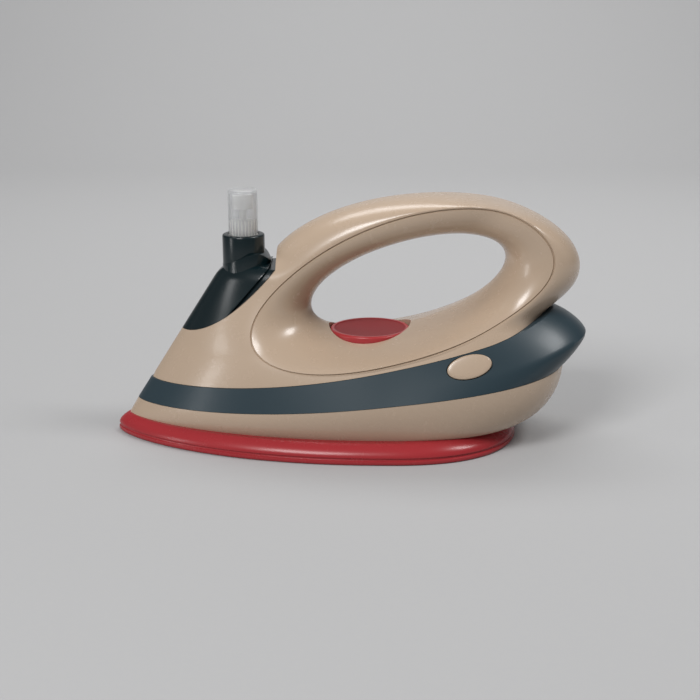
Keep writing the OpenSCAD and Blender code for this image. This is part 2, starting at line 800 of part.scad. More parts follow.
// pump cylinder with a flange at the top and a nipple at the bottom
pump_flange_z = gasket_z + gasket_height + 0.05;
pump_floor_z = neck_top - 24;
pump_radius = neck_radius - tank_wall - 0.2;
piston_radius = pump_radius - 1.1;
nipple_radius = 1.3;
module pump_body() {
    color(white) {
        ring(neck_radius - 0.1, piston_radius + fit_gap, pump_flange_z, 1);
        ring(pump_radius, piston_radius + fit_gap, pump_floor_z, pump_flange_z - pump_floor_z + 0.5);
        ring(piston_radius + 0.5, 0.6, pump_floor_z - 1.2, 1.2);
        ring(nipple_radius, 0.6, pump_floor_z - 6, 5);
    }
}

tube_gap = 2.5;
module dip_tube() {
    color([0.9, 0.93, 0.95])
        ring(nipple_radius + 0.5, nipple_radius + 0.02, tank_bottom + tube_gap,
            pump_floor_z - 1.4 - tank_bottom - tube_gap);
}

// white ferrule: skirt around the neck, ribbed upper part that the cap grips
ferrule_web = pump_flange_z + 1.05;
rib_bottom = ferrule_web + 1;
rib_top = rib_bottom + 6.9;
rib_radius = cap_diameter / 2 - 0.9;
rib_count = 24;
stem_radius = 1.6;
module pump_collar() {
    color(white)
        difference() {
            union() {
                translate([pump_x, 0, bore_ledge + 0.05])
                    cylinder(r = ferrule_radius, h = rib_bottom - bore_ledge - 0.05, $fn = 48);
                translate([pump_x, 0, rib_bottom - 0.5])
                    cylinder(r = rib_radius - 0.25, h = rib_top - rib_bottom + 0.5, $fn = 48);
                for (k = [0:rib_count - 1])
                    translate([pump_x, 0, rib_bottom - 0.2])
                        rotate([0, 0, 360 * k / rib_count])
                            translate([rib_radius - 0.6, -0.28, 0])
                                cube([0.5, 0.56, rib_top - rib_bottom]);
            }
            translate([pump_x, 0, 0])
                cylinder(r = neck_radius + 0.05, h = ferrule_web, $fn = 48);
            translate([pump_x, 0, 0])
                cylinder(r = 3, h = rib_top - 1.2, $fn = 48);
            translate([pump_x, 0, 0])
                cylinder(r = stem_radius + fit_gap, h = body_length, $fn = 32);
        }
}

// moving part of the pump
cap_bottom = rib_bottom + 0.3;
cap_top = cap_bottom + cap_height;
actuator_bottom = rib_top + pump_stroke + 0.3;
actuator_top = cap_top - 1.6;
actuator_radius = 4.3;
piston_z = pump_floor_z + 14;
module pump_stem() {
    color(white)
        translate([pump_x, 0, 0]) {
            translate([0, 0, piston_z])
                cylinder(r = stem_radius, h = actuator_bottom + 2 - piston_z, $fn = 32);
            translate([0, 0, piston_z])
                cylinder(r = piston_radius, h = 3, $fn = 32);
        }
}

module spray_actuator() {
    dish = 14;
    color(white)
        translate([pump_x, 0, 0])
            difference() {
                rotate_extrude($fn = 48)
                    polygon([[0, actuator_bottom], [actuator_radius, actuator_bottom],
                        [actuator_radius, actuator_top - 0.6], [actuator_radius - 0.6, actuator_top],
                        [0, actuator_top]]);
                translate([0, 0, actuator_top + dish - 0.6])
                    sphere(r = dish, $fn = 96);
                translate([0, 0, actuator_bottom - 1])
                    cylinder(r = stem_radius + 0.02, h = 3.05, $fn = 32);
                translate([0, 0, mix(actuator_bottom, actuator_top, 0.45)])
                    rotate([90, 0, 0])
                        cylinder(r = 0.7, h = 10, $fn = 24);
            }
}

spring_outer = 2.6;
spring_inner = 1.9;
module pump_spring() {
    color(steel)
        ring(spring_outer, spring_inner, pump_floor_z + 0.05, piston_z - pump_floor_z - 0.1);
}

module spray_cap() {
    r = cap_diameter / 2;
    inner = r - 0.8;
    color([0.9, 0.94, 0.96, 0.4])
        translate([pump_x, 0, 0])
            rotate_extrude($fn = 64)
                polygon([[inner, cap_bottom], [r, cap_bottom], [r, cap_top - 0.8], [r - 0.8, cap_top],
                    [0, cap_top], [0, cap_top - 1], [inner, cap_top - 1]]);
}

// dial with a hollow sleeve, the bush that it turns in and the clip that holds it
clip_z = seat_z - bush_height - 1.6;
sleeve_bottom = clip_z - 1;
module temperature_dial() {
    r = dial_radius;
    soft = 1.2;
    in = sleeve_radius - 2;
    color(red)
        translate([dial_x, 0, 0])
            rotate_extrude($fn = 64)
                polygon(concat(
                    [[in, sleeve_bottom], [sleeve_radius, sleeve_bottom], [sleeve_radius, clip_z - 0.05],
                     [sleeve_radius - 0.8, clip_z - 0.05], [sleeve_radius - 0.8, clip_z + 1.05],
                     [sleeve_radius, clip_z + 1.05], [sleeve_radius, dial_bottom], [r - 0.3, dial_bottom],
                     [r, dial_bottom + 0.3]],
                    [for (a = [0:15:90]) [r - soft + soft * cos(a), dial_top - soft + soft * sin(a)]],
                    [[0, dial_top], [0, dial_bottom + 1.6], [in, dial_bottom + 1.6]]));
}

module dial_bush() {
    color(white)
        translate([dial_x, 0, 0])
            rotate_extrude($fn = 64)
                polygon([[sleeve_radius + fit_gap, seat_z - bush_height], [bush_radius, seat_z - bush_height],
                    [bush_radius, seat_z - bush_flange_height], [bush_flange, seat_z - bush_flange_height],
                    [bush_flange, seat_z - 0.05], [sleeve_radius + fit_gap, seat_z - 0.05]]);
}

module dial_clip() {
    gap = 40;
    color(steel)
        translate([dial_x, 0, clip_z])
            rotate([0, 0, gap / 2])
                rotate_extrude(angle = 360 - gap, $fn = 48)
                    translate([sleeve_radius - 0.75, 0])
                        square([3.2, 1]);
}

// battery box over the bay, two cells, springs and plates at their ends
box_wall = 1.6;
cell_radius = cell_diameter / 2;
cell_y = cell_radius + 0.45;
cell_z = door_bottom + door_thick + 0.7 + cell_radius;
box_half = 2 * cell_radius + 1.5;
box_ceiling = cell_z + cell_radius + 0.6;
box_top = box_ceiling + box_wall;
module battery_box() {
    color([0.2, 0.21, 0.22])
        difference() {
            union() {
                translate([bay_front - box_wall, -box_half - box_wall, floor_z])
                    cube([bay_back - bay_front + 2 * box_wall, 2 * (box_half + box_wall), box_top - floor_z]);
                for (x = board_screw_xs, side = [-1, 1])
                    translate([x, side * board_screw_y, box_top - 0.1])
                        cylinder(r = 2.2, h = board_lift + 0.1, $fn = 24);
            }
            translate([bay_front, -box_half, floor_z - 1])
                cube([bay_back - bay_front, 2 * box_half, box_ceiling - floor_z + 1]);
            for (x = board_screw_xs, side = [-1, 1])
                translate([x, side * board_screw_y, box_ceiling + 0.4])
                    cylinder(r = 1.15, h = 20, $fn = 24);
            for (x = [bay_front, bay_back - 0.7], side = [-1, 1])
                translate([x, side * cell_y - 1.6, box_ceiling - 1])
                    cube([0.7, 3.2, 10]);
        }
}

contact_thick = 0.4;
nub_length = 1.4;
module at_cells() {
    translate([bay_front, cell_y, cell_z])
        children();
    translate([bay_back, -cell_y, cell_z])
        rotate([0, 0, 180])
            children();
}
cell_start = contact_thick + 0.15;
module battery_cells() {
    color([0.5, 0.42, 0.3])
        at_cells()
            translate([cell_start, 0, 0])
                rotate([0, 90, 0]) {
                    translate([0, 0, nub_length])
                        cylinder(r = cell_radius, h = cell_length - nub_length, $fn = 48);
                    cylinder(r = 2.7, h = nub_length + 0.1, $fn = 32);
                }
}
bay_length = bay_back - bay_front;
module battery_springs() {
    from = cell_start + cell_length + 0.05;
    color(steel)
        at_cells()
            translate([from, 0, 0])
                rotate([0, 90, 0])
                    difference() {
                        cylinder(r1 = 2, r2 = 3.6, h = bay_length - contact_thick - from - 0.1, $fn = 32);
                        translate([0, 0, -0.01])
                            cylinder(r1 = 1.4, r2 = 3, h = bay_length - contact_thick - from, $fn = 32);
                    }
}
module battery_contacts() {
    color(steel)
        at_cells()
            for (x = [0.05, bay_length - contact_thick - 0.05])
                translate([x, 0, 0]) {
                    translate([0, -5, -5])
                        cube([contact_thick, 10, 10]);
                    translate([0, -1.3, 0])
                        cube([contact_thick, 2.6, box_top + 1.6 - cell_z]);
                }
}

// circuit board on the battery box, with the light standing under the dial
board_screw_xs = [-6, 24];
board_screw_y = 9.5;
board_lift = 2.4;
board_z = box_top + board_lift;
board_front = -10;
board_back = 28;
board_half = 13;
module circuit_board() {
    color([0.1, 0.35, 0.2])
        difference() {
            translate([board_front, -board_half, board_z])
                cube([board_back - board_front, 2 * board_half, board_thick]);
            for (x = board_screw_xs, side = [-1, 1])
                translate([x, side * board_screw_y, board_z - 1])
                    cylinder(r = 1.2, h = 5, $fn = 24);
        }
}
module board_screws() {
    color(steel)
        for (x = board_screw_xs, side = [-1, 1])
            translate([x, side * board_screw_y, board_z + board_thick + 1.2])
                rotate([180, 0, 0])
                    screw(2, 1.2, 1.05, 5.5);
}
light_radius = 2.5;
light_z = dial_bottom - 8;
module light_bulb() {
    color([0.95, 0.9, 0.7])
        translate([dial_x, 0, 0]) {
            rotate_extrude($fn = 32)
                polygon(concat([[0, light_z], [light_radius + 0.4, light_z], [light_radius + 0.4, light_z + 1],
                    [light_radius, light_z + 1]],
                    [for (a = [0:15:90]) [light_radius * cos(a), light_z + 5.5 + light_radius * sin(a)]]));
            for (side = [-1, 1])
                translate([side * 1.27, 0, board_z + board_thick])
                    cylinder(r = 0.3, h = light_z - board_z - board_thick + 0.2, $fn = 12);
        }
}

wire_radius = 0.6;
module wire(points) {
    for (k = [0:len(points) - 2])
        hull() {
            translate(points[k])
                sphere(r = wire_radius, $fn = 8);
            translate(points[k + 1])
                sphere(r = wire_radius, $fn = 8);
        }
}
module lead_wires() {
    tab_z = box_top + 2.4;
    solder_z = board_z + board_thick + 0.65;
    switch_y = button_y + (board_depth + board_thick + 0.7) * cos(button_lean);
    switch_z = button_z - (board_depth + board_thick + 0.7) * sin(button_lean);
    color([0.75, 0.1, 0.1]) {
        wire([[bay_front + 0.25, cell_y, tab_z], [bay_front, cell_y, solder_z + 3],
            [board_front + 2, cell_y - 3, solder_z + 2], [board_front + 3, cell_y - 3, solder_z]]);
        wire([[bay_back - 0.25, -cell_y, tab_z], [bay_back - 3, -cell_y, solder_z + 2],
            [board_back - 1, -cell_y + 4, solder_z + 2], [board_back - 2, -cell_y + 4, solder_z]]);
        for (side = [0, 1])
            wire([[board_back - 2, -2 + 5 * side, solder_z], [board_back + 1, -2 + 5 * side, solder_z + 2],
                [button_x - 6 + 8 * side, switch_y + 6, switch_z - 2],
                [button_x - 3 + 6 * side, switch_y, switch_z]]);
    }
}

sole_plate();
battery_door();
battery_door_screw();
base_shell();
trim_band();
left_shell();
right_shell();
shell_screws();
base_screws();
nozzle_housing();
spray_cap();
spray_actuator();
pump_collar();
pump_body();
pump_stem();
pump_spring();
dip_tube();
neck_gasket();
water_tank();
temperature_dial();
dial_bush();
dial_clip();
light_button();
push_switch();
switch_plunger();
switch_board();
switch_screws();
circuit_board();
board_screws();
light_bulb();
lead_wires();
battery_box();
battery_cells();
battery_springs();
battery_contacts();
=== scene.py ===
import math
import bpy
import bmesh
from mathutils import Matrix, Vector


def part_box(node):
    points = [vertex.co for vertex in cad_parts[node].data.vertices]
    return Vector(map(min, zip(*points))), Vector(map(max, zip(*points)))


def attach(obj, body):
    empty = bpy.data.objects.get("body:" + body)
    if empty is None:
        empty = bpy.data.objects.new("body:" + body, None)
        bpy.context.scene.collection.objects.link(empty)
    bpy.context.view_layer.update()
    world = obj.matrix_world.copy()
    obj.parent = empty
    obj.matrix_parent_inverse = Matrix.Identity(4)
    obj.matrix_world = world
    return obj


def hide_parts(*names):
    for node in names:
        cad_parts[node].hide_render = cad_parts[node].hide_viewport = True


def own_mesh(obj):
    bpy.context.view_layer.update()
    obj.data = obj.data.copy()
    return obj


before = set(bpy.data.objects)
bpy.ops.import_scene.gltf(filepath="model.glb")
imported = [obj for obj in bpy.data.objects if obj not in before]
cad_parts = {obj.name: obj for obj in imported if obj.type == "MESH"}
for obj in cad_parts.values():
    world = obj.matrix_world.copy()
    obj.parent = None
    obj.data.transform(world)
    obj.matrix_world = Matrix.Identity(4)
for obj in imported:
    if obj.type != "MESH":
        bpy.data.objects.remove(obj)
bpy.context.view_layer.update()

# Camera
# Stands in front of the left side and looks a little down, as the photograph does.
# Its place, in millimetres, and its lens are fitted to the photograph.
camera_data = bpy.data.cameras.new("camera")
camera_data.lens = 79.47
camera_data.sensor_width = 36
camera_data.clip_end = 20
camera = bpy.data.objects.new("camera", camera_data)
bpy.context.scene.collection.objects.link(camera)
right = Vector((0.99931, 0.03645, -0.00732))
up = Vector((-0.00277, 0.26942, 0.96302))
back = right.cross(up)
camera.matrix_world = Matrix.Translation(Vector((24.9, -633.9, 212.9)) * 0.001) @ Matrix(
    (right, up, back)).transposed().to_4x4()
bpy.context.scene.camera = camera

# Sole plate
# A red tray moulded in ABS: a thin lip around the bottom, a fine groove above it and a
# sloping flank up to the base shell. Screws from below pull it to the body.


def mix(a, b, f):
    return a + (b - a) * f


def clamp(v, low, high):
    return min(max(v, low), high)


nose_x, tail_x, beam_x = -100.0, 100.0, 14.5
half_width, sole_height, heel_x, floor_z = 47.0, 8.0, 71.0, 3.6
plan_steps = 288
nose_bend, nose_power = 2.1, 0.7
heel_bend, heel_power = 2.6, 0.476


def ogive(t, power):
    return max(0.0, 1 - clamp(t, 0, 1) ** nose_bend) ** power


def around(nose, tail, side):
    """Points of a plan outline; side(x, share along the front or the back) gives the half width."""
    points = []
    for k in range(plan_steps):
        turn = 2 * math.pi * k / plan_steps
        c = math.cos(turn)
        x = beam_x + ((beam_x - nose) if c < 0 else (tail - beam_x)) * c
        sign = 0 if k % (plan_steps // 2) == 0 else math.copysign(1, math.sin(turn))
        points.append((x, sign * side(x, c)))
    return points


def sole_row(z, inset):
    def side(x, c):
        t = abs(c)
        share = ogive(t, nose_power) if c < 0 else max(0.0, 1 - t ** heel_bend) ** heel_power
        return (half_width - inset) * share
    return [(x, y, z) for x, y in around(nose_x + inset, heel_x - inset, side)]


def skin(name, rows, wrap=False):
    """Mesh through rows of points in millimetres: the ends are capped, or the last row joins the first."""
    n = len(rows[0])
    points = [tuple(v * 0.001 for v in p) for row in rows for p in row]
    last = len(rows) - 1
    faces = []
    for r in range(last + 1 if wrap else last):
        a, b = r * n, ((r + 1) % (last + 1)) * n
        faces += [(a + k, b + k, b + (k + 1) % n, a + (k + 1) % n) for k in range(n)]
    if not wrap:
        faces += [tuple(range(n)), tuple(last * n + n - 1 - k for k in range(n))]
    mesh = bpy.data.meshes.new(name)
    mesh.from_pydata(points, [], faces)
    shape = bmesh.new()
    shape.from_mesh(mesh)
    bmesh.ops.remove_doubles(shape, verts=shape.verts, dist=1e-7)
    bmesh.ops.dissolve_degenerate(shape, edges=shape.edges, dist=1e-7)
    if shape.calc_volume(signed=True) < 0:
        bmesh.ops.reverse_faces(shape, faces=shape.faces)
    shape.to_mesh(mesh)
    shape.free()
    piece = bpy.data.objects.new(name, mesh)
    bpy.context.scene.collection.objects.link(piece)
    return piece


def carve(piece, *tools, how="DIFFERENCE"):
    """Cuts the tools out of a piece (or joins them to it), and removes the tools."""
    for tool in tools:
        cut = piece.modifiers.new("cut", "BOOLEAN")
        cut.operation = how
        cut.solver = "EXACT"
        cut.object = tool
        kept = bpy.data.meshes.new_from_object(piece.evaluated_get(bpy.context.evaluated_depsgraph_get()))
        piece.modifiers.clear()
        piece.data = kept
        bpy.data.objects.remove(tool)
    return piece


def lathe(name, profile, centre, steps=96):
    """Closed turned body around Z from (radius, z) points; a radius of 0 closes it on the axis."""
    rows = []
    for k in range(steps):
        a = 2 * math.pi * k / steps
        rows.append([(centre[0] + r * math.cos(a), centre[1] + r * math.sin(a), z) for r, z in profile])
    return skin(name, rows, wrap=True)


def block(name, low, high):
    x0, y0, z0 = low
    x1, y1, z1 = high
    corners = [(x0, y0), (x1, y0), (x1, y1), (x0, y1)]
    return skin(name, [[(x, y, z) for x, y in corners] for z in (z0, z1)])


def rod(name, centre, radius, z0, z1, steps=64):
    ring = [(centre[0] + radius * math.cos(2 * math.pi * k / steps),
             centre[1] + radius * math.sin(2 * math.pi * k / steps)) for k in range(steps)]
    return skin(name, [[(x, y, z) for x, y in ring] for z in (z0, z1)])


def slab(name, outline, reach):
    """Upright slab across the iron from (x, z) points, as far as reach to each side."""
    return skin(name, [[(x, y, z) for x, z in outline] for y in (-reach, reach)])


def rounded(r, z, size, steps):
    """Quarter round of a turned profile around (r, z), from its side to its top."""
    angles = [math.radians(90 * k / steps) for k in range(steps + 1)]
    return [(r + size * math.cos(a), z + size * math.sin(a)) for a in angles]


def smooth(piece, degrees=32):
    """Smooth shading with hard edges kept where the faces turn by more than the angle."""
    mesh = piece.data
    mesh.shade_smooth()
    mesh.set_sharp_from_angle(angle=math.radians(degrees))


def lay(tree, kind, inputs, **settings):
    """Adds a shader node: settings are its own properties, inputs are values or outputs to link."""
    node = tree.nodes.new(kind)
    for key, value in settings.items():
        setattr(node, key, value)
    for key, value in inputs.items():
        if isinstance(value, bpy.types.NodeSocket):
            tree.links.new(value, node.inputs[key])
        else:
            node.inputs[key].default_value = value
    return node


def bare_material(name):
    """New material with an empty tree; its place on the piece, in metres, drives the patterns."""
    material = bpy.data.materials.new(name)
    material.use_nodes = True
    tree = material.node_tree
    tree.nodes.clear()
    return material, tree, lay(tree, "ShaderNodeTexCoord", {}).outputs["Object"]


def finish_material(tree, shader):
    lay(tree, "ShaderNodeOutputMaterial", {"Surface": shader.outputs["BSDF"]})


def coat_node(name, material):
    """Gives a solid that is shown as it is in the frame its material."""
    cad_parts[name].data.materials.clear()
    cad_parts[name].data.materials.append(material)


def paint(code):
    """sRGB hex to a linear colour."""
    parts = [int(code[i:i + 2], 16) / 255 for i in (1, 3, 5)]
    return tuple(p / 12.92 if p <= 0.04045 else ((p + 0.055) / 1.055) ** 2.4 for p in parts) + (1.0,)


def per_mm(size):
    """Noise scale, in metres, for a pattern of this size in millimetres."""
    return 1000.0 / size


def moulded(name, light, dark, roughness, grain, gloss, shine=0.5):
    """Injection-moulded plastic: flow clouds in the colour, a fine grain from the tool's polish and
    soft sink waves that make long highlights wander."""
    material, tree, place = bare_material(name)
    # flow clouds about 35 mm across
    clouds = lay(tree, "ShaderNodeTexNoise", {"Vector": place, "Scale": per_mm(35), "Detail": 3.0})
    colour = lay(tree, "ShaderNodeMix", {0: clouds.outputs["Fac"], 6: paint(light), 7: paint(dark)},
                 data_type="RGBA")
    # polish marks about 6 mm across change the gloss a little
    polish = 0.008
    marks = lay(tree, "ShaderNodeTexNoise", {"Vector": place, "Scale": per_mm(6), "Detail": 6.0,
                                             "Roughness": 0.7})
    rough = lay(tree, "ShaderNodeMapRange", {"Value": marks.outputs["Fac"], "From Min": 0.3, "From Max": 0.7,
                                             "To Min": roughness - polish, "To Max": roughness + polish})
    # the real grain is under 0.1 mm; it is drawn at 0.5 mm so that it shows
    fine = lay(tree, "ShaderNodeTexNoise", {"Vector": place, "Scale": per_mm(0.5), "Detail": 2.0})
    waves = lay(tree, "ShaderNodeTexNoise", {"Vector": place, "Scale": per_mm(18), "Detail": 1.0})
    swell = lay(tree, "ShaderNodeBump", {"Height": waves.outputs["Fac"], "Strength": 0.06,
                                         "Distance": 0.0006})
    bump = lay(tree, "ShaderNodeBump", {"Height": fine.outputs["Fac"], "Strength": grain,
                                        "Distance": 0.00004, "Normal": swell.outputs["Normal"]})
    shader = lay(tree, "ShaderNodeBsdfPrincipled", {
        "Base Color": colour.outputs[2], "Roughness": rough.outputs["Result"], "IOR": 1.53,
        "Specular IOR Level": shine, "Coat Weight": gloss, "Coat Roughness": 0.12,
        "Normal": bump.outputs["Normal"]})
    finish_material(tree, shader)
    return material


# gloss red ABS: a saturated red with clear, slightly soft highlights
red_abs = moulded("ABS_gloss_red_moulded", "#9f2d32", "#9a2b30", 0.27, 0.04, 0.06, 0.3)


def dress(piece, body, material, slot, *nodes, degrees=32):
    """Gives a new piece its material, its body and the solids it stands for, which it hides; the slot is not
    used.
    """
    piece.data.materials.clear()
    piece.data.materials.append(material)
    smooth(piece, degrees)
    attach(piece, body)
    if nodes:
        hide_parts(*nodes)


lip = [(0, 1.0), (0.1, 0.62), (0.3, 0.3), (0.55, 0.1), (0.8, 0), (1.55, 0), (1.85, 0.08), (2.0, 0.26)]
groove = [(2.1, 0.55), (2.35, 0.7), (2.85, 0.7), (3.02, 0.5), (3.15, 0.2)]
flank_z, flank_inset = groove[-1]
flank_steps, flank_draw, tray_inset = 16, 4.6, 10.8
rows = [sole_row(z, inset) for z, inset in lip + groove]
for k in range(1, flank_steps + 1):
    f = k / flank_steps
    rows.append(sole_row(mix(flank_z, sole_height, f), mix(flank_inset, flank_draw, f ** 1.8)))
rows += [sole_row(sole_height, tray_inset), sole_row(floor_z, tray_inset)]
sole = skin("sole_plate.moulded", rows)
post_places = [(-60, 9), (-60, -9), (26, 28), (26, -28)]
door_front, door_back, door_half, door_top = -14.4, 53.0, 17.0, 2.2
hinge_x, hinge_z, hinge_half = -16.2, 1.5, 6.0
door_screw_at, screw_bore, room_top = (49, 0), 1.6, 2.3
below, above = -1, sole_height + 1
for x, y in post_places:
    carve(sole, rod("bore", (x, y), screw_bore, below, above), rod("sink", (x, y), 3.0, below, 1.9))
carve(sole, block("door_room", (door_front - 1.1, -door_half - 0.4, below),
                  (door_back + 0.4, door_half + 0.4, room_top)),
      block("bay", (-13.2, -15.4, below), (43.4, 15.4, above)),
      block("hinge_room", (hinge_x - 1.35, -hinge_half - 0.3, below),
            (hinge_x + 2.5, hinge_half + 0.3, room_top)),
      rod("door_screw_bore", door_screw_at, screw_bore, below, above))
dress(sole, "body", red_abs, "red_plastic", "sole_plate")

# Battery door
# A red ABS plate in the sole, on a moulded hinge barrel at its front, held shut by one screw.
# Seven grooves near the free end give the thumb a hold.
door = skin("battery_door.moulded", [
    [(mix(door_front, door_back, 0.5) + sx * ((door_back - door_front) / 2 - cut),
      sy * (door_half - cut), z) for sx, sy in ((-1, -1), (1, -1), (1, 1), (-1, 1))]
    for z, cut in ((0.3, 0.5), (0.45, 0.2), (0.8, 0), (door_top, 0))])
carve(door, rod("door_bore", door_screw_at, 1.25, below, above),
      rod("door_sink", door_screw_at, 2.5, below, 1.4))
grip_x, grip_pitch, grip_width, grip_half = 30.0, 1.6, 0.7, 6
for k in range(7):
    x = grip_x + grip_pitch * k
    carve(door, block("grip_%d" % k, (x, -grip_half, 0.1), (x + grip_width, grip_half, 0.6)))
dress(door, "door", red_abs, "red_plastic", degrees=28)
barrel_radius, barrel_steps = 1.1, 32
barrel_ends = ((-hinge_half, 0.8), (-hinge_half + 0.3, 1), (hinge_half - 0.3, 1), (hinge_half, 0.8))
barrel_turns = [2 * math.pi * k / barrel_steps for k in range(barrel_steps)]
barrel = skin("battery_door.hinge", [
    [(hinge_x + barrel_radius * math.cos(a) * s, y, hinge_z + barrel_radius * math.sin(a) * s)
     for a in barrel_turns] for y, s in barrel_ends])
dress(barrel, "door", red_abs, "red_plastic")
arm = block("battery_door.arm", (hinge_x, -hinge_half, hinge_z - 0.3),
            (door_front + 0.2, hinge_half, door_top))
dress(arm, "door", red_abs, "red_plastic")
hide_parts("battery_door")

# Screws
# Zinc-plated steel pan-head screws with a cross recess, for the sole, the door and the far half
# of the body; the ones inside hold the boards.
zinc, tree, place = bare_material("steel_zinc_plated")
# plating crystals about 0.4 mm across and turning marks; a bright, slightly blue metal
crystals = lay(tree, "ShaderNodeTexVoronoi", {"Vector": place, "Scale": per_mm(0.4)})
tint = lay(tree, "ShaderNodeMix", {0: crystals.outputs["Distance"], 6: paint("#c9ccd1"), 7: paint("#b1b5bb")},
           data_type="RGBA")
rub = lay(tree, "ShaderNodeTexNoise", {"Vector": place, "Scale": per_mm(0.8), "Detail": 4.0})
rough = lay(tree, "ShaderNodeMapRange", {"Value": rub.outputs["Fac"], "To Min": 0.22, "To Max": 0.42})
bump = lay(tree, "ShaderNodeBump", {"Height": rub.outputs["Fac"], "Strength": 0.2, "Distance": 0.00005})
shader = lay(tree, "ShaderNodeBsdfPrincipled", {"Base Color": tint.outputs[2], "Metallic": 1.0,
                                                "Roughness": rough.outputs["Result"],
                                                "Normal": bump.outputs["Normal"]})
finish_material(tree, shader)


def pan_screw(name, head_r, head_h, shank_r, length):
    """Screw on the origin, head down and point up, with a cross recess in the head."""
    profile = [(0, 0), (head_r * 0.6, 0.02), (head_r * 0.86, 0.16 * head_h), (head_r, 0.5 * head_h)]
    profile += [(head_r, head_h), (shank_r, head_h), (shank_r, length - shank_r), (0, length)]
    screw = lathe(name, profile, (0, 0), 40)
    arm_l, arm_w, depth = head_r * 0.55, head_r * 0.13, head_h * 0.55
    carve(screw, block("slot_a", (-arm_l, -arm_w, -1), (arm_l, arm_w, depth)),
          block("slot_b", (-arm_w, -arm_l, -1), (arm_w, arm_l, depth)))
    return screw


def set_screws(name, pattern, places):
    """One piece from copies of a screw, each set by its own matrix (millimetres)."""
    whole = bmesh.new()
    for place_mm in places:
        copy = pattern.data.copy()
        move = place_mm.copy()
        move.translation = move.translation * 0.001
        copy.transform(move)
        whole.from_mesh(copy)
        bpy.data.meshes.remove(copy)
    mesh = bpy.data.meshes.new(name)
    whole.to_mesh(mesh)
    whole.free()
    piece = bpy.data.objects.new(name, mesh)
    bpy.context.scene.collection.objects.link(piece)
    bpy.data.objects.remove(pattern)
    return piece


head_z, shell_head_y = 0.4, 6.0
base_screws = set_screws("base_screws.steel", pan_screw("base_screw", 2.7, 1.5, 1.3, 12),
                         [Matrix.Translation((x, y, head_z)) for x, y in post_places])
dress(base_screws, "body", zinc, "screw_steel", "base_screws", degrees=30)
door_screw = set_screws("battery_door_screw.steel", pan_screw("door_screw", 2.4, 1.0, 1.2, 6.5),
                        [Matrix.Translation((*door_screw_at, head_z))])
dress(door_screw, "door", zinc, "screw_steel", "battery_door_screw", degrees=30)
shell_points = [(12.2, 91.0), (61.8, 93.2), (82.1, 67.8), (-24.8, 61.1), (-62.8, 34.7)]
facing = Matrix.Rotation(math.radians(90), 4, "X")
shell_screws = set_screws("shell_screws.steel", pan_screw("shell_screw", 2.7, 1.9, 1.3, 12),
                          [Matrix.Translation((x, shell_head_y, z)) @ facing for x, z in shell_points])
dress(shell_screws, "body", zinc, "screw_steel", "shell_screws", degrees=30)
for name in ("switch_screws", "board_screws", "dial_clip"):
    coat_node(name, zinc)

# Base shell
# The beige ring between the sole and the band, moulded in gloss ABS and tucked under at the heel.
# It is clamped between the sole and the band.
beige_abs = moulded("ABS_gloss_beige_moulded", "#b5a08b", "#b29d88", 0.27, 0.03, 0.2)
front_lean = 0.64
base_half, handle_half = half_width - 4, 17.0
tail_mid, tail_under, tail_over = 0.38, 9.5, 14.0
plan_bend, plan_power = 3.2, 0.417
low_lift, low_rise, low_bow = 13.6, 0.1025, 0.00027
high_lift, high_rise, high_bow = 25.5, 0.168, 0.00066
flick_x, flick = 58, 0.02
nose_draw, base_wall = 1.2, 2.0


def front_x(z):
    return nose_x + front_lean * z


def plan(x, nose, tail, power):
    if x < beam_x:
        return ogive((beam_x - x) / (beam_x - nose), power)
    return max(0.0, 1 - clamp((x - beam_x) / (tail - beam_x), 0, 1) ** plan_bend) ** plan_power


def band_low(x):
    return sole_height + low_lift + low_rise * x + low_bow * x * x


def band_high(x):
    """The band's upper edge; behind flick_x it turns up to the tail."""
    return (sole_height + high_lift + high_rise * x + high_bow * x * x
            + flick * max(0.0, x - flick_x) ** 1.5)


def tail_at(v):
    """The tail's outline at share v of the band's height: furthest back at tail_mid."""
    if v < tail_mid:
        return tail_x - tail_under * ((tail_mid - v) / tail_mid) ** 1.3
    return tail_x - tail_over * ((v - tail_mid) / (1 - tail_mid)) ** 1.2


def base_row(v, inset):
    nose = front_x(mix(sole_height, band_low(nose_x), v)) + nose_draw * inset
    tail = mix(heel_x - 5, tail_at(0), math.sqrt(1 - (1 - v) ** 2)) - inset
    half = mix(half_width - 8, base_half, 1 - (1 - v) ** 2) - inset
    return [(x, y, mix(sole_height, band_low(x), v))
            for x, y in around(nose, tail, lambda x, c: half * plan(x, nose, tail, nose_power))]


heights = [1 - math.cos(math.pi / 2 * k / 20) for k in range(21)]
base = skin("base_shell.moulded", [base_row(v, 0) for v in heights]
            + [base_row(v, base_wall) for v in (1, 0.5, 0.15, 0)], wrap=True)
dress(base, "body", beige_abs, "beige_plastic", "base_shell")

# Trim band
# Slate-teal ABS ring that clips over the base shell; it rises to the back and ends in a rounded
# tail. The opening for the light button is in its left side.
teal_abs = moulded("ABS_gloss_slate_teal_moulded", "#2b3a42", "#29383f", 0.33, 0.04, 0.03, 0.3)
seam, band_wall, tail_draw = 0.15, 2.0, 1.5
waist_z, waist_soft = 50, 11


def waist(z):
    return handle_half + (base_half - handle_half) / (1 + math.exp((z - waist_z) / waist_soft))


def band_y(x, v, nose, tail, inset):
    half = mix(base_half, waist(band_high(x)), v)
    return max(0.0, half * plan(x, nose, tail, nose_power) - inset)


def band_row(v, inset, sink=0.0):
    nose = front_x(mix(band_low(nose_x), band_high(nose_x), v)) + nose_draw * inset
    tail = tail_at(v) - tail_draw * inset

    def side(x, c):
        return band_y(x, v, nose - nose_draw * inset, tail + tail_draw * inset, inset + sink)
    return [(x, y, mix(band_low(x) + seam, band_high(x) - seam, v)) for x, y in around(nose, tail, side)]


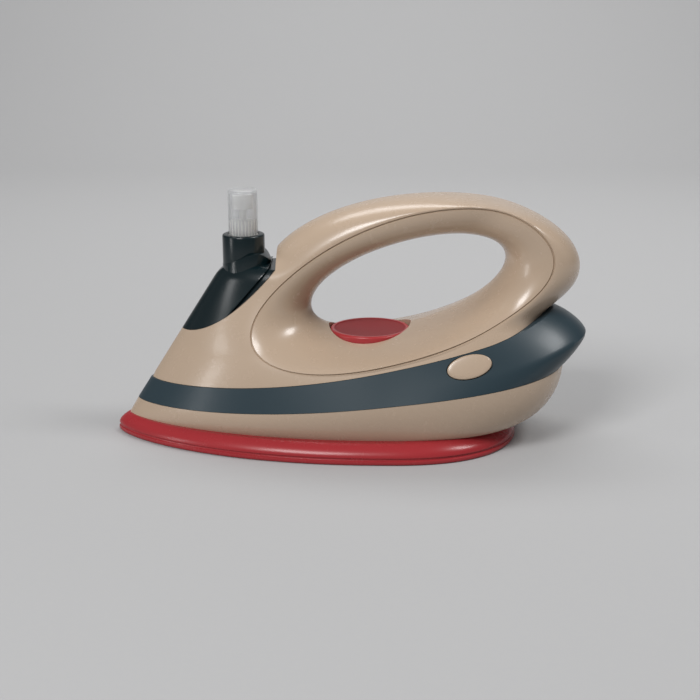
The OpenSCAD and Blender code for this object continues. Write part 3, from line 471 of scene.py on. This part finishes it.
button_x, button_z, button_a, button_b = 49.9, 38.4, 9.15, 4.85
button_lean, button_turn = -114, -14
button_v = (button_z - band_low(button_x)) / (band_high(button_x) - band_low(button_x))
button_y = -band_y(button_x, button_v, front_x(mix(band_low(nose_x), band_high(nose_x), button_v)),
                   tail_at(button_v), 0)
at_button = (Matrix.Translation((button_x, button_y, button_z))
             @ Matrix.Rotation(math.radians(button_lean), 4, "X")
             @ Matrix.Rotation(math.radians(button_turn), 4, "Z"))


def oval_row(grow, z, steps=96):
    a, b = button_a + grow, button_b + grow
    turns = [2 * math.pi * k / steps for k in range(steps)]
    return [tuple(at_button @ Vector((a * math.cos(t), b * math.sin(t), z))) for t in turns]


shares = [0.5 - 0.5 * math.cos(math.pi * k / 30) for k in range(1, 30)]
outer = [band_row(0, 0, 0.25)] + [band_row(v, 0) for v in shares] + [band_row(1, 0, 0.12)]
# the shelf inside the upper edge widens to the tail, where the body halves draw in above it
shelf = [(x, y * clamp((84 - x) / 20, 0.02, 1), z) for x, y, z in band_row(1, band_wall)]
inside = [band_row(v, band_wall) for v in (0.9, 0.5, 0)]
band = skin("trim_band.moulded", outer + [shelf] + inside, wrap=True)
carve(band, skin("button_opening", [oval_row(0.35, z) for z in (-6, 3)]))
dress(band, "body", teal_abs, "teal_plastic", "trim_band")

# Light button
# A beige ABS oval that stands proud of the band and is pressed in to switch the light.
# Its flange behind the band keeps it in; its stem presses the switch.
edge_z, dome = -0.93, 0.22
crown = [oval_row(-cut, z) for cut, z in
         ((0, 4.6), (0, -0.35), (0.06, -0.55), (0.2, -0.72), (0.42, -0.84), (0.8, edge_z))]
for share in (0.8, 0.55, 0.3, 0.08):
    domed = edge_z - dome * (1 - share ** 2)
    centre = at_button @ Vector((0, 0, domed))
    crown.append([tuple(centre + (Vector(p) - centre) * share * 0.9) for p in oval_row(0, domed)])
button = skin("light_button.moulded", crown)
carve(button, skin("flange", [oval_row(1.3, z) for z in (3.3, 4.5)]), how="UNION")
dress(button, "button", beige_abs, "beige_plastic", "light_button")

# Body halves
# Two beige ABS half shells form the upper body and the closed handle. A round bead runs around
# the hand hole up to a fine moulded line; five screws from the far side join the halves.
hole_x, hole_z, hole_a, hole_b, tilt = 25.0, 65.9, 42.25, 17.25, 16.9
line_x, line_z, line_grow_a, line_grow_b = 23.3, 66.5, 21.6, 9.6
line_bow, line_bow_at = 0.048, 93.8
tuck_depth, tuck_at, tuck_spread = 4.2, -10, 10
outer_x, outer_z, outer_a, outer_b, outer_tilt = 30.5, 68.5, 66.7, 33.9, 3.1
notch_x, notch_z, brow_z = -29.5, 79.0, 74.0
foot_z, foot_rise, foot_bend = 45.6, 27.9, 1.75
dial_at, nose_z = (9, 0), 23.8
wall = 2.0


def ray_ellipse(angle, ex, ez, a, b, turn):
    """How far a ray from the hole's centre runs to an ellipse around (ex, ez)."""
    ct, st = math.cos(math.radians(turn)), math.sin(math.radians(turn))
    dx, dz = hole_x - ex, hole_z - ez
    u0, v0 = (dx * ct + dz * st) / a, (dz * ct - dx * st) / b
    u1, v1 = math.cos(math.radians(angle - turn)) / a, math.sin(math.radians(angle - turn)) / b
    aa, bb, cc = u1 * u1 + v1 * v1, u0 * u1 + v0 * v1, u0 * u0 + v0 * v0 - 1
    return (math.sqrt(bb * bb - aa * cc) - bb) / aa


def ray_hole(angle):
    return ray_ellipse(angle, hole_x, hole_z, hole_a, hole_b, tilt)


def ray_line(angle, inset):
    bow = 1 + line_bow * math.cos(math.radians(3 * (evened(angle, hole_a, hole_b) - line_bow_at)))
    return bow * ray_ellipse(angle, line_x, line_z, hole_a + line_grow_a - inset,
                             hole_b + line_grow_b - inset, tilt)


def wrapped(angle):
    return angle - 360 if angle > 270 else angle


def ray_outer(angle, inset):
    tuck = tuck_depth * math.exp(-((wrapped(angle) - tuck_at) / tuck_spread) ** 2)
    return ray_ellipse(angle, outer_x, outer_z, outer_a - inset, outer_b - inset, outer_tilt) - tuck


def ray_front(angle, inset):
    a = math.radians(angle)
    return (hole_x - front_x(hole_z) - nose_draw * inset) / (front_lean * math.sin(a) - math.cos(a))


def ray_brow(angle, inset):
    a = math.radians(angle)
    slope = (notch_z - brow_z) / (notch_x - front_x(brow_z))
    return (notch_z - inset - hole_z + slope * (hole_x - notch_x)) / (math.sin(a) - slope * math.cos(a))


def ray_band(angle):
    c, s = math.cos(math.radians(angle)), math.sin(math.radians(angle))
    near, far = 10.0, 200.0
    for _ in range(36):
        middle = (near + far) / 2
        above = hole_z + middle * s > band_high(hole_x + middle * c)
        near, far = (middle, far) if above else (near, middle)
    return (near + far) / 2


def ray_edge(angle, part, inset):
    if part == "top":
        return ray_outer(angle, inset)
    if part == "brow":
        return min(ray_brow(angle, inset), ray_front(angle, inset))
    if part == "front":
        return ray_front(angle, inset)
    return min(ray_band(angle), ray_outer(angle, inset)) if inset and angle > 270 else ray_band(angle)


def angle_to(x, z):
    return math.degrees(math.atan2(z - hole_z, x - hole_x)) % 360


angle_notch = angle_to(notch_x, notch_z)
angle_brow = angle_to(front_x(brow_z), brow_z)
angle_nose = angle_to(front_x(nose_z), nose_z)
low, high = -60.0, 0.0
for _ in range(24):
    angle_rear = (low + high) / 2
    low, high = (angle_rear, high) if ray_outer(angle_rear, 0) > ray_band(angle_rear) else (low, angle_rear)


def evened(angle, a, b):
    """Angle on a circle for an angle on the tilted ellipse, or back with a and b swapped."""
    d = angle - tilt
    return (math.degrees(math.atan2(math.sin(math.radians(d)) * a, math.cos(math.radians(d)) * b))
            + 360 * math.floor((d + 180) / 360) + tilt)


def spread(start, end, count, part, bias=1.0):
    a0, a1 = evened(start, hole_a, hole_b), evened(end, hole_a, hole_b)
    return [(evened(mix(a0, a1, 1 - (1 - k / count) ** bias), hole_b, hole_a), part) for k in range(count)]


rays = (spread(angle_rear, angle_notch, 150, "top") + spread(angle_notch, angle_brow, 12, "brow")
        + spread(angle_brow, angle_nose, 28, "front") + spread(angle_nose, angle_rear + 330, 84, "band")
        + spread(angle_rear + 330, angle_rear + 360, 48, "band", 1.7))


def eased(v):
    c = clamp(v, 0, 1)
    return c * c * (3 - 2 * c)


def rounding(angle, reach, inset):
    """How much of the half width is left between the line and the outer outline of the handle."""
    a = wrapped(angle)
    share = 1.0
    if a < angle_rear:
        share = eased(1 - (angle_rear - a) / 15)
    elif a > angle_notch:
        share = eased(1 - (a - angle_notch) / 10)
    start, end = ray_line(angle, inset), ray_outer(angle, inset)
    s = clamp((reach - start) / (end - start), 0, 1)
    return 1 - share * (1 - math.sqrt(1 - s * s))


def hull_y(x, z, inset):
    """Half width of the body at (x, z); its nose gets blunter from 40 to 80 mm up."""
    power = nose_power - 0.0074 * clamp(z - 40, 0, 40)
    tail = tail_at(1) + 0.12 * max(0.0, z - waist_z) ** 2
    return max(-inset / 4, waist(z) * plan(x, front_x(z), tail, power) - inset)


def point_at(angle, reach):
    a = math.radians(angle)
    return hole_x + reach * math.cos(a), hole_z + reach * math.sin(a)


def outside_y(angle, reach, inset):
    x, z = point_at(angle, reach)
    return hull_y(x, z, inset) * rounding(angle, reach, inset)


def foot_curve(end, drop):
    """Points along the foot of the nozzle housing, from ahead of the front back to x = end."""
    start = front_x(foot_z)
    points = []
    for k in range(61):
        x = mix(start - 12, end, k / 60)
        t = clamp((x - start) / (notch_x - start), 0, 1)
        points.append((x, foot_z + foot_rise * t ** foot_bend - drop))
    return points


parting, line_room, line_depth, bead_draw = 0.04, 1.1, 0.7, 0.85


def half_row(kind, f, inset=0.0, drop=0.0, half_line=0.45):
    row = []
    for angle, part in rays:
        line = ray_line(angle, inset)
        top = outside_y(angle, line + line_room, inset)
        if kind == "bead":
            # round at the top of the handle, flat in the saddle; the inside is moved in by the wall
            power = 1.25 + 0.5 * (1 + math.sin(math.radians(angle)))
            full = outside_y(angle, ray_line(angle, 0) + line_room, 0)
            reach = mix(ray_hole(angle), ray_line(angle, 0) - half_line, f) + bead_draw * inset
            y = full * (1 - (1 - f) ** power) ** (1 / power) - bead_draw * inset
        elif kind == "line":
            reach = line + f * half_line
            y = top - line_depth * (1 - f * f)
        else:
            edge = max(line + 1.4, ray_edge(angle, part, inset))
            reach = mix(line + half_line, edge, f)
            shut = f == 1 and part != "band"
            y = 0.0 if shut else outside_y(angle, reach, inset)
            if reach < line + line_room and not shut:
                y = top
        x, z = point_at(angle, reach)
        row.append((x, y if inset else y + parting, z - (drop if part == "band" else 0)))
    return row


def flat(row, y):
    return [(x, y, z) for x, _, z in row]


def half_body(name):
    rows = [half_row("bead", 1 - math.cos(math.pi / 2 * k / 20)) for k in range(21)]
    rows += [half_row("line", f) for f in (-0.6, 0.0, 0.6)]
    rows += [half_row("edge", math.sin(math.pi / 2 * k / 24)) for k in range(24)] + [half_row("edge", 1)]
    body = skin(name, rows + [flat(rows[-1], parting)], wrap=True)
    inner = [half_row("bead", f, wall, 0, line_room) for f in (0, 0.14, 0.45, 0.9)]
    inner += [half_row("edge", f, wall, 0, line_room) for f in (0.4, 0.8, 1)]
    inner += [half_row("edge", 1, wall, wall, line_room)]
    room = skin("room", [flat(inner[0], -wall)] + inner + [flat(inner[-1], -wall)], wrap=True)
    carve(room, rod("dial_seat", dial_at, 19.6, 35.3, 48.7))
    foot = foot_curve(notch_x, seam)
    above_foot = slab("above_foot", foot + [(notch_x, 120), (foot[0][0], 120)], 50)
    carve(body, room, above_foot, rod("dial_room", dial_at, 17.35, 41.5, 55.5, 128),
          rod("bush_flange_room", dial_at, 15.05, 40.25, 55, 96),
          rod("bush_room", dial_at, 13.05, 20, 55, 96))
    return body


right_half = half_body("right_shell.moulded")
left_half = bpy.data.objects.new("left_shell.moulded", right_half.data.copy())
bpy.context.scene.collection.objects.link(left_half)
left_half.data.transform(Matrix.Scale(-1, 4, (0, 1, 0)))
left_half.data.flip_normals()
for x, z in shell_points:
    bore = rod("counterbore", (0, 0), 3.0, 4, 60)
    bore.data.transform(Matrix.Translation((x * 0.001, 0, z * 0.001))
                        @ Matrix.Rotation(math.radians(-90), 4, "X"))
    carve(right_half, bore)
dress(left_half, "body", beige_abs, "beige_plastic", "left_shell")
dress(right_half, "body", beige_abs, "beige_plastic", "right_shell")

# Temperature dial
# A red ABS disc sunk in the saddle under the handle. It turns in a white bush and its soft rim
# stands just above the seat; a spring clip below holds it.
# satin red ABS, dull where it is seen at a flat angle; its red is painted darker than the sole's, as painted
# shade for the hollow under the handle where it sits
dial_abs = moulded("ABS_satin_red_moulded", "#88282b", "#842729", 0.36, 0.04, 0.0, 0.05)
# its rim, about 15.2 mm from the axis and beyond, is polished and glossier, and is painted a brighter red as
# a painted highlight
dial_axis, satin_to, gloss_and_highlight_from = (dial_at[0] * 0.001, 0, 0), 0.0150, 0.0154
tree = dial_abs.node_tree
shader = next(node for node in tree.nodes if node.type == "BSDF_PRINCIPLED")
place = lay(tree, "ShaderNodeTexCoord", {}).outputs["Object"]
level = lay(tree, "ShaderNodeVectorMath", {0: place, 1: (1, 1, 0)}, operation="MULTIPLY").outputs["Vector"]
reach = lay(tree, "ShaderNodeVectorMath", {0: level, 1: dial_axis}, operation="DISTANCE")
rim = lay(tree, "ShaderNodeMapRange", {"Value": reach.outputs["Value"], "From Min": satin_to,
                                       "From Max": gloss_and_highlight_from}).outputs["Result"]
# a brighter red mixed in on the rim and its side: a painted highlight
colour = lay(tree, "ShaderNodeMix", {0: rim, 6: shader.inputs["Base Color"].links[0].from_socket,
                                     7: paint("#a83538")}, data_type="RGBA")
rough = lay(tree, "ShaderNodeMix", {0: rim, 2: shader.inputs["Roughness"].links[0].from_socket, 3: 0.3})
shine = lay(tree, "ShaderNodeMapRange", {"Value": rim, "To Min": 0.05, "To Max": 0.32})
for name, socket in (("Base Color", colour.outputs[2]), ("Roughness", rough.outputs[0]),
                     ("Specular IOR Level", shine.outputs["Result"])):
    tree.links.new(socket, shader.inputs[name])
dial_profile = [(7, 31.7), (9, 31.7), (9, 42), (16.75, 42), (17, 42.25)] + rounded(16.0, 44.7, 1.0, 12)
dial_profile += [(15.2, 45.7), (15.0, 45.6), (14.8, 45.45), (14.4, 45.4), (0, 45.34), (0, 43.6), (7, 43.6)]
dial = lathe("temperature_dial.moulded", dial_profile, dial_at, 160)
dress(dial, "dial", dial_abs, "red_plastic", "temperature_dial")

# Water tank and pump works
# A blow-moulded polythene tank hangs in the front of the body by its neck. Inside it stand the
# pump cylinder, its stem on a wound wire spring and a thin dip tube; a rubber ring seals the neck.
pump_x = -43.8
pump_at = (pump_x, 0)
natural = moulded("polythene_natural_blow_moulded", "#dfe6e8", "#d4dde0", 0.42, 0.4, 0.0)
white_pp = moulded("polypropylene_white_moulded", "#ece9e4", "#e2dfda", 0.34, 0.3, 0.1)
rubber = moulded("rubber_black_pressed", "#2b2b2c", "#232324", 0.62, 0.8, 0.0)
for name, material in (("water_tank", natural), ("dip_tube", natural), ("pump_body", white_pp),
                       ("pump_stem", white_pp), ("neck_gasket", rubber), ("dial_bush", white_pp),
                       ("switch_plunger", white_pp)):
    coat_node(name, material)
wire, coil_radius, coil_low, coil_high, coil_steps = 0.33, 2.25, 59.05, 72.95, 168
coil = []
for k in range(coil_steps + 1):
    turn, rise = 2 * math.pi * k / 24, mix(coil_low + wire, coil_high - wire, k / coil_steps)
    ring = [(coil_radius + wire * math.cos(math.pi * j / 4), rise + wire * math.sin(math.pi * j / 4))
            for j in range(8)]
    coil.append([(pump_x + r * math.cos(turn), r * math.sin(turn), z) for r, z in ring])
spring = skin("pump_spring.coil", coil)
dress(spring, "body", zinc, "screw_steel", "pump_spring", degrees=60)
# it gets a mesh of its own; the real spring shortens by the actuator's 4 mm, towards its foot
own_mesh(spring)

# Nozzle housing
# A near-black teal ABS cover: a pod with a slanted front and a boot around its round collar, which
# takes the pump, and a lower part behind the pod that stands against the handle on a rising foot.
dark_abs = moulded("ABS_gloss_dark_teal_moulded", "#07191d", "#06171b", 0.24, 0.04, 0.06, 0.4)
shoulder_z, shoulder_rise, shoulder_draw = 68, 6, 4.5
pod_step, pod_lean, pod_back = 1.7, 41, 11.4
boot_at, boot_radius = (pump_x + 1.2, 0), 10.2


def shoulder(z):
    """How far the pod draws in above its shoulder, in a quarter round."""
    share = (z - shoulder_z) / shoulder_rise
    return 0.0 if z <= shoulder_z else shoulder_draw * (1 - math.sqrt(max(0.0, 1 - share ** 2)))


def housing_row(z, inset):
    pull = inset + shoulder(z)
    nose, end = front_x(z) + nose_draw * pull, notch_x - seam
    xs = [mix(nose, end, 1 - math.cos(math.pi / 2 * k / 56)) for k in range(57)]
    near = [(x, -max(0.0, hull_y(x, z, pull)), z) for x in xs]
    return near + [(x, -y, z) for x, y, z in reversed(near[1:])]


def behind_pod(ahead):
    """All that lies behind the pod's leaning back face, moved forward by ahead."""
    lean, start = math.radians(pod_lean), pump_x + pod_back - ahead
    far = half_width
    side = [(start + u * math.cos(lean) + v * math.sin(lean),
             brow_z - u * math.sin(lean) + v * math.cos(lean))
            for u, v in ((0, -far), (far, -far), (far, far), (0, far))]
    return slab("behind_pod", side, far)


def ease(piece, size):
    """Rounds the hard edges, as the tool's polish leaves them."""
    bevel = piece.modifiers.new("ease", "BEVEL")
    bevel.width = size * 0.001
    bevel.segments = 3
    bevel.limit_method = "ANGLE"
    bevel.angle_limit = math.radians(35)
    kept = bpy.data.meshes.new_from_object(piece.evaluated_get(bpy.context.evaluated_depsgraph_get()))
    piece.modifiers.clear()
    piece.data = kept
    return piece


levels = [40 + 2 * k for k in range(15)]
levels += [shoulder_z + shoulder_rise * math.sin(math.pi / 2 * k / 16) for k in range(1, 16)]
pod = skin("nozzle_housing.moulded", [housing_row(z, 0) for z in levels])
housing = ease(carve(pod, behind_pod(0)), 0.5)
rear = skin("rear", [housing_row(z, pod_step) for z in levels if z < brow_z - 1])
carve(rear, behind_pod(1), how="INTERSECT")
boot = rod("boot", boot_at, boot_radius, 20, 100, 128)
# its top rises to the back and turns down over a crest
rise, crest, fall = (-42.0, 78.1), (-36.48, 80.5), (-33.6, 76.6)
curve = [(k / 12, 1 - k / 12) for k in range(13)]
boot_side = [(-54, shoulder_z), (-54, 72.8)]
boot_side += [tuple(rise[i] * b * b + crest[i] * 2 * a * b + fall[i] * a * a for i in (0, 1))
              for a, b in curve]
boot_side += [(-32.4, 75), (-31.4, shoulder_z)]
carve(boot, slab("boot_cut", boot_side, 20), how="INTERSECT")
carve(housing, rear, ease(boot, 0.7), how="UNION")
foot = foot_curve(notch_x + 1, 0)
carve(housing, slab("below_foot", foot + [(notch_x + 1, 20), (foot[0][0], 20)], 50))
collar_profile = [(0, shoulder_z), (8.85, shoulder_z), (8.85, 85.2), (8.75, 85.6), (8.55, 85.85)]
collar_profile += [(8.2, 86.0), (0, 86.0)]
carve(housing, lathe("collar", collar_profile, pump_at, 128), how="UNION")
neck_radius = 5.3
tank_room = [(0, 20), (12, 20), (12, 48), (neck_radius, 60), (0, 60)]
carve(housing, rod("bore", pump_at, 6.6, 81.5, 100, 128), rod("neck", pump_at, neck_radius, 30, 99, 96),
      lathe("tank_room", tank_room, pump_at, 96))
dress(housing, "body", dark_abs, "dark_plastic", "nozzle_housing", degrees=36)

# Pump collar
# White polypropylene ferrule that clips over the tank's neck; fine ribs around its upper part
# grip the cap.
rib_rows, rib_steps, rib_count, rib_height, ring_gap = [], 288, 24, 0.18, 0.07
for z, r in ((81.55, 6.3), (85.6, 6.3), (85.65, 6.15), (85.66, 5.3), (92.2, 5.3), (92.45, 5.1)):
    row = []
    for k in range(rib_steps):
        a = 2 * math.pi * k / rib_steps
        ribbed = rib_height * clamp(2.2 * math.cos(rib_count * a), -1, 1) if 85.65 < z < 92.3 else 0
        reach = r + ribbed - ring_gap
        row.append((pump_x + reach * math.cos(a), reach * math.sin(a), z))
    rib_rows.append(row)
ferrule = skin("pump_collar.moulded", rib_rows)
carve(ferrule, rod("neck_room", pump_at, 5.25, 80, 84.65, 96), rod("hollow", pump_at, 3.0, 80, 91.3, 64),
      rod("stem_bore", pump_at, 1.65, 80, 99, 48))
dress(ferrule, "body", white_pp, "white_plastic", "pump_collar", degrees=40)

# Spray actuator
# White polypropylene button with a dished top, pressed by a finger; the mist leaves through a
# small stepped hole in its side.
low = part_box("spray_actuator")[0][2] * 1000
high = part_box("spray_actuator")[1][2] * 1000
button_profile = [(1.62, low + 2), (1.62, low), (4.1, low), (4.3, low + 0.2), (4.3, high - 0.7)]
button_profile += rounded(3.6, high - 0.7, 0.7, 8)[1:]
button_profile += [(3.0, high - 0.2), (1.8, high - 0.45), (0, high - 0.55), (0, low + 2)]
actuator = lathe("spray_actuator.moulded", button_profile, pump_at, 96)
orifice_z = mix(low, high, 0.45)
for name, radius, depth in (("orifice", 1.15, 4.0), ("orifice_core", 0.7, 3.0)):
    hole = rod(name, (0, 0), radius, depth, 6, 48)
    hole.data.transform(Matrix.Translation((pump_x * 0.001, 0, orifice_z * 0.001))
                        @ Matrix.Rotation(math.radians(90), 4, "X"))
    carve(actuator, hole)
dress(actuator, "actuator", white_pp, "white_plastic", "spray_actuator", degrees=40)

# Spray cap
# Clear polystyrene overcap that pushes onto the ribs of the collar. It is lifted off to spray.
clear_ps, tree, place = bare_material("polystyrene_clear_moulded")
# hairline rubs about 1.5 mm across cloud the clear wall a little, so that it reads milky at the edges
rubs = lay(tree, "ShaderNodeTexNoise", {"Vector": place, "Scale": per_mm(1.5), "Detail": 5.0,
                                        "Roughness": 0.7})
rough = lay(tree, "ShaderNodeMapRange", {"Value": rubs.outputs["Fac"], "From Min": 0.35, "From Max": 0.75,
                                         "To Min": 0.04, "To Max": 0.22})
bump = lay(tree, "ShaderNodeBump", {"Height": rubs.outputs["Fac"], "Strength": 0.12, "Distance": 0.0001})
shader = lay(tree, "ShaderNodeBsdfPrincipled", {
    "Base Color": paint("#f4f5f6"), "Roughness": rough.outputs["Result"], "IOR": 1.45,
    "Transmission Weight": 0.75, "Normal": bump.outputs["Normal"]})
finish_material(tree, shader)
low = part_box("spray_cap")[0][2] * 1000
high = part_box("spray_cap")[1][2] * 1000
cap_profile = [(5.4, low), (6.1, low), (6.2, low + 0.15), (6.2, high - 1.0)]
cap_profile += rounded(5.2, high - 1.0, 1.0, 8)[1:]
cap_profile += [(0, high), (0, high - 1), (4.9, high - 1)]
cap_profile += [(5.2, high - 1.12), (5.36, high - 1.4), (5.4, high - 1.8)]
cap = lathe("spray_cap.moulded", cap_profile, pump_at, 128)
dress(cap, "cap", clear_ps, "clear_plastic", "spray_cap", degrees=40)

# Switch, boards, light and wires
# A black push switch on a green glass-epoxy board behind the button, the main board on the
# battery box, a milky lamp under the dial and sleeved copper leads between them.
black_nylon = moulded("nylon_black_moulded", "#26272a", "#1f2022", 0.45, 0.5, 0.0)
sleeve = moulded("PVC_red_extruded", "#b3262b", "#a31f25", 0.4, 0.3, 0.0)
resin = moulded("epoxy_milky_cast", "#f2ead2", "#e8dfc4", 0.25, 0.1, 0.2)
laminate, tree, place = bare_material("glass_epoxy_green")
# glass weave at 0.6 mm shows through the green lacquer, with broad copper tracks under it
weave = lay(tree, "ShaderNodeTexChecker", {"Vector": place, "Scale": per_mm(0.6), "Color1": paint("#1c5b39"),
                                           "Color2": paint("#1a5535")})
tracks = lay(tree, "ShaderNodeTexWave", {"Vector": place, "Scale": per_mm(20), "Distortion": 6.0})
edge = lay(tree, "ShaderNodeMapRange", {"Value": tracks.outputs["Fac"], "From Min": 0.62, "From Max": 0.66})
green = lay(tree, "ShaderNodeMix", {0: edge.outputs["Result"], 6: weave.outputs["Color"],
                                    7: paint("#2f7048")}, data_type="RGBA")
bump = lay(tree, "ShaderNodeBump", {"Height": edge.outputs["Result"], "Strength": 0.3, "Distance": 0.00005})
shader = lay(tree, "ShaderNodeBsdfPrincipled", {"Base Color": green.outputs[2], "Roughness": 0.32,
                                                "IOR": 1.55, "Normal": bump.outputs["Normal"]})
finish_material(tree, shader)
for name, material in (("push_switch", black_nylon), ("switch_board", laminate), ("circuit_board", laminate),
                       ("light_bulb", resin), ("lead_wires", sleeve), ("battery_box", black_nylon)):
    coat_node(name, material)

# Battery cells and contacts
# Two plain zinc-carbon cells in printed steel cans lie side by side, against nickel-plated
# plates and conical springs.
nickel, tree, place = bare_material("steel_nickel_plated")
# drawing lines 0.3 mm apart on a warm bright metal
lines = lay(tree, "ShaderNodeTexNoise", {"Vector": place, "Scale": per_mm(0.3), "Detail": 3.0})
rough = lay(tree, "ShaderNodeMapRange", {"Value": lines.outputs["Fac"], "To Min": 0.15, "To Max": 0.32})
bump = lay(tree, "ShaderNodeBump", {"Height": lines.outputs["Fac"], "Strength": 0.15, "Distance": 0.00004})
shader = lay(tree, "ShaderNodeBsdfPrincipled", {"Base Color": paint("#cfcac0"), "Metallic": 1.0,
                                                "Roughness": rough.outputs["Result"],
                                                "Normal": bump.outputs["Normal"]})
finish_material(tree, shader)
can, tree, place = bare_material("steel_can_printed")
along = lay(tree, "ShaderNodeSeparateXYZ", {"Vector": place}).outputs["X"]
# a dark sleeve with a plain copper-coloured end band, print grain 0.4 mm
split = lay(tree, "ShaderNodeMapRange", {"Value": along, "From Min": 0.0259, "From Max": 0.0261})
print_grain = lay(tree, "ShaderNodeTexNoise", {"Vector": place, "Scale": per_mm(0.4), "Detail": 2.0})
coat = lay(tree, "ShaderNodeMix", {0: split.outputs["Result"], 6: paint("#2a2c30"), 7: paint("#9a6a3c")},
           data_type="RGBA")
rough = lay(tree, "ShaderNodeMapRange", {"Value": print_grain.outputs["Fac"], "To Min": 0.25, "To Max": 0.4})
bump = lay(tree, "ShaderNodeBump", {"Height": print_grain.outputs["Fac"], "Strength": 0.1,
                                    "Distance": 0.00004})
shader = lay(tree, "ShaderNodeBsdfPrincipled", {"Base Color": coat.outputs[2], "Metallic": 0.4,
                                                "Roughness": rough.outputs["Result"],
                                                "Normal": bump.outputs["Normal"]})
finish_material(tree, shader)
for name, material in (("battery_cells", can), ("battery_springs", nickel), ("battery_contacts", nickel)):
    coat_node(name, material)

# Floor and backdrop
# One pale grey sweep of matt card: flat under the iron and curved up behind it.
sweep, sweep_start, sweep_radius, sweep_steps = [], 700, 600, 32
for k in range(sweep_steps + 1):
    a = math.radians(90 * k / sweep_steps)
    sweep.append((sweep_start + sweep_radius * math.sin(a), sweep_radius * (1 - math.cos(a))))
path = [(-2500, 0), (-600, 0), (0, 0)] + sweep + [(sweep_start + sweep_radius, 2600)]
floor_mesh = bpy.data.meshes.new("floor")
floor_mesh.from_pydata([(x * 0.001, y * 0.001, z * 0.001) for y, z in path for x in (-3000, 3000)], [],
                       [(2 * k, 2 * k + 1, 2 * k + 3, 2 * k + 2) for k in range(len(path) - 1)])
floor_mesh.shade_smooth()
floor = bpy.data.objects.new("floor", floor_mesh)
bpy.context.scene.collection.objects.link(floor)
card, tree, place = bare_material("card_pale_grey_matt")
fibre = lay(tree, "ShaderNodeTexNoise", {"Vector": place, "Scale": per_mm(3), "Detail": 4.0})
tone = lay(tree, "ShaderNodeMix", {0: fibre.outputs["Fac"], 6: paint("#adadad"), 7: paint("#ababac")},
           data_type="RGBA")
shader = lay(tree, "ShaderNodeBsdfPrincipled", {"Base Color": tone.outputs[2], "Roughness": 0.85})
finish_material(tree, shader)
floor_mesh.materials.append(card)

# Light
# Soft studio light: a large box above and left in front, a tall narrow one low on the left, one above
# on the right, one over the backdrop, and an even dim room.
for name, place_mm, aim_mm, wide_mm, high_mm, power in (
        ("key", (-350, -750, 800), (0, 0, 40), 420, 420, 8.0),
        ("left_strip", (-850, -380, 190), (0, 0, 50), 120, 420, 1.0),
        ("right_box", (600, -100, 780), (0, 0, 50), 260, 260, 3.6),
        ("back_box", (0, 500, 900), (0, 900, 100), 900, 500, 7.0)):
    lamp_data = bpy.data.lights.new(name, "AREA")
    lamp_data.shape = "RECTANGLE"
    lamp_data.size = wide_mm * 0.001
    lamp_data.size_y = high_mm * 0.001
    lamp_data.energy = power
    lamp = bpy.data.objects.new(name, lamp_data)
    lamp.location = Vector(place_mm) * 0.001
    lamp.rotation_euler = (Vector(aim_mm) - Vector(place_mm)).to_track_quat("-Z", "Y").to_euler()
    bpy.context.scene.collection.objects.link(lamp)
world = bpy.data.worlds.new("room")
bpy.context.scene.world = world
world.use_nodes = True
world.node_tree.nodes["Background"].inputs["Color"].default_value = (0.5, 0.5, 0.51, 1)
world.node_tree.nodes["Background"].inputs["Strength"].default_value = 0.4
bpy.context.scene.view_settings.view_transform = "Standard"

bpy.context.view_layer.update()
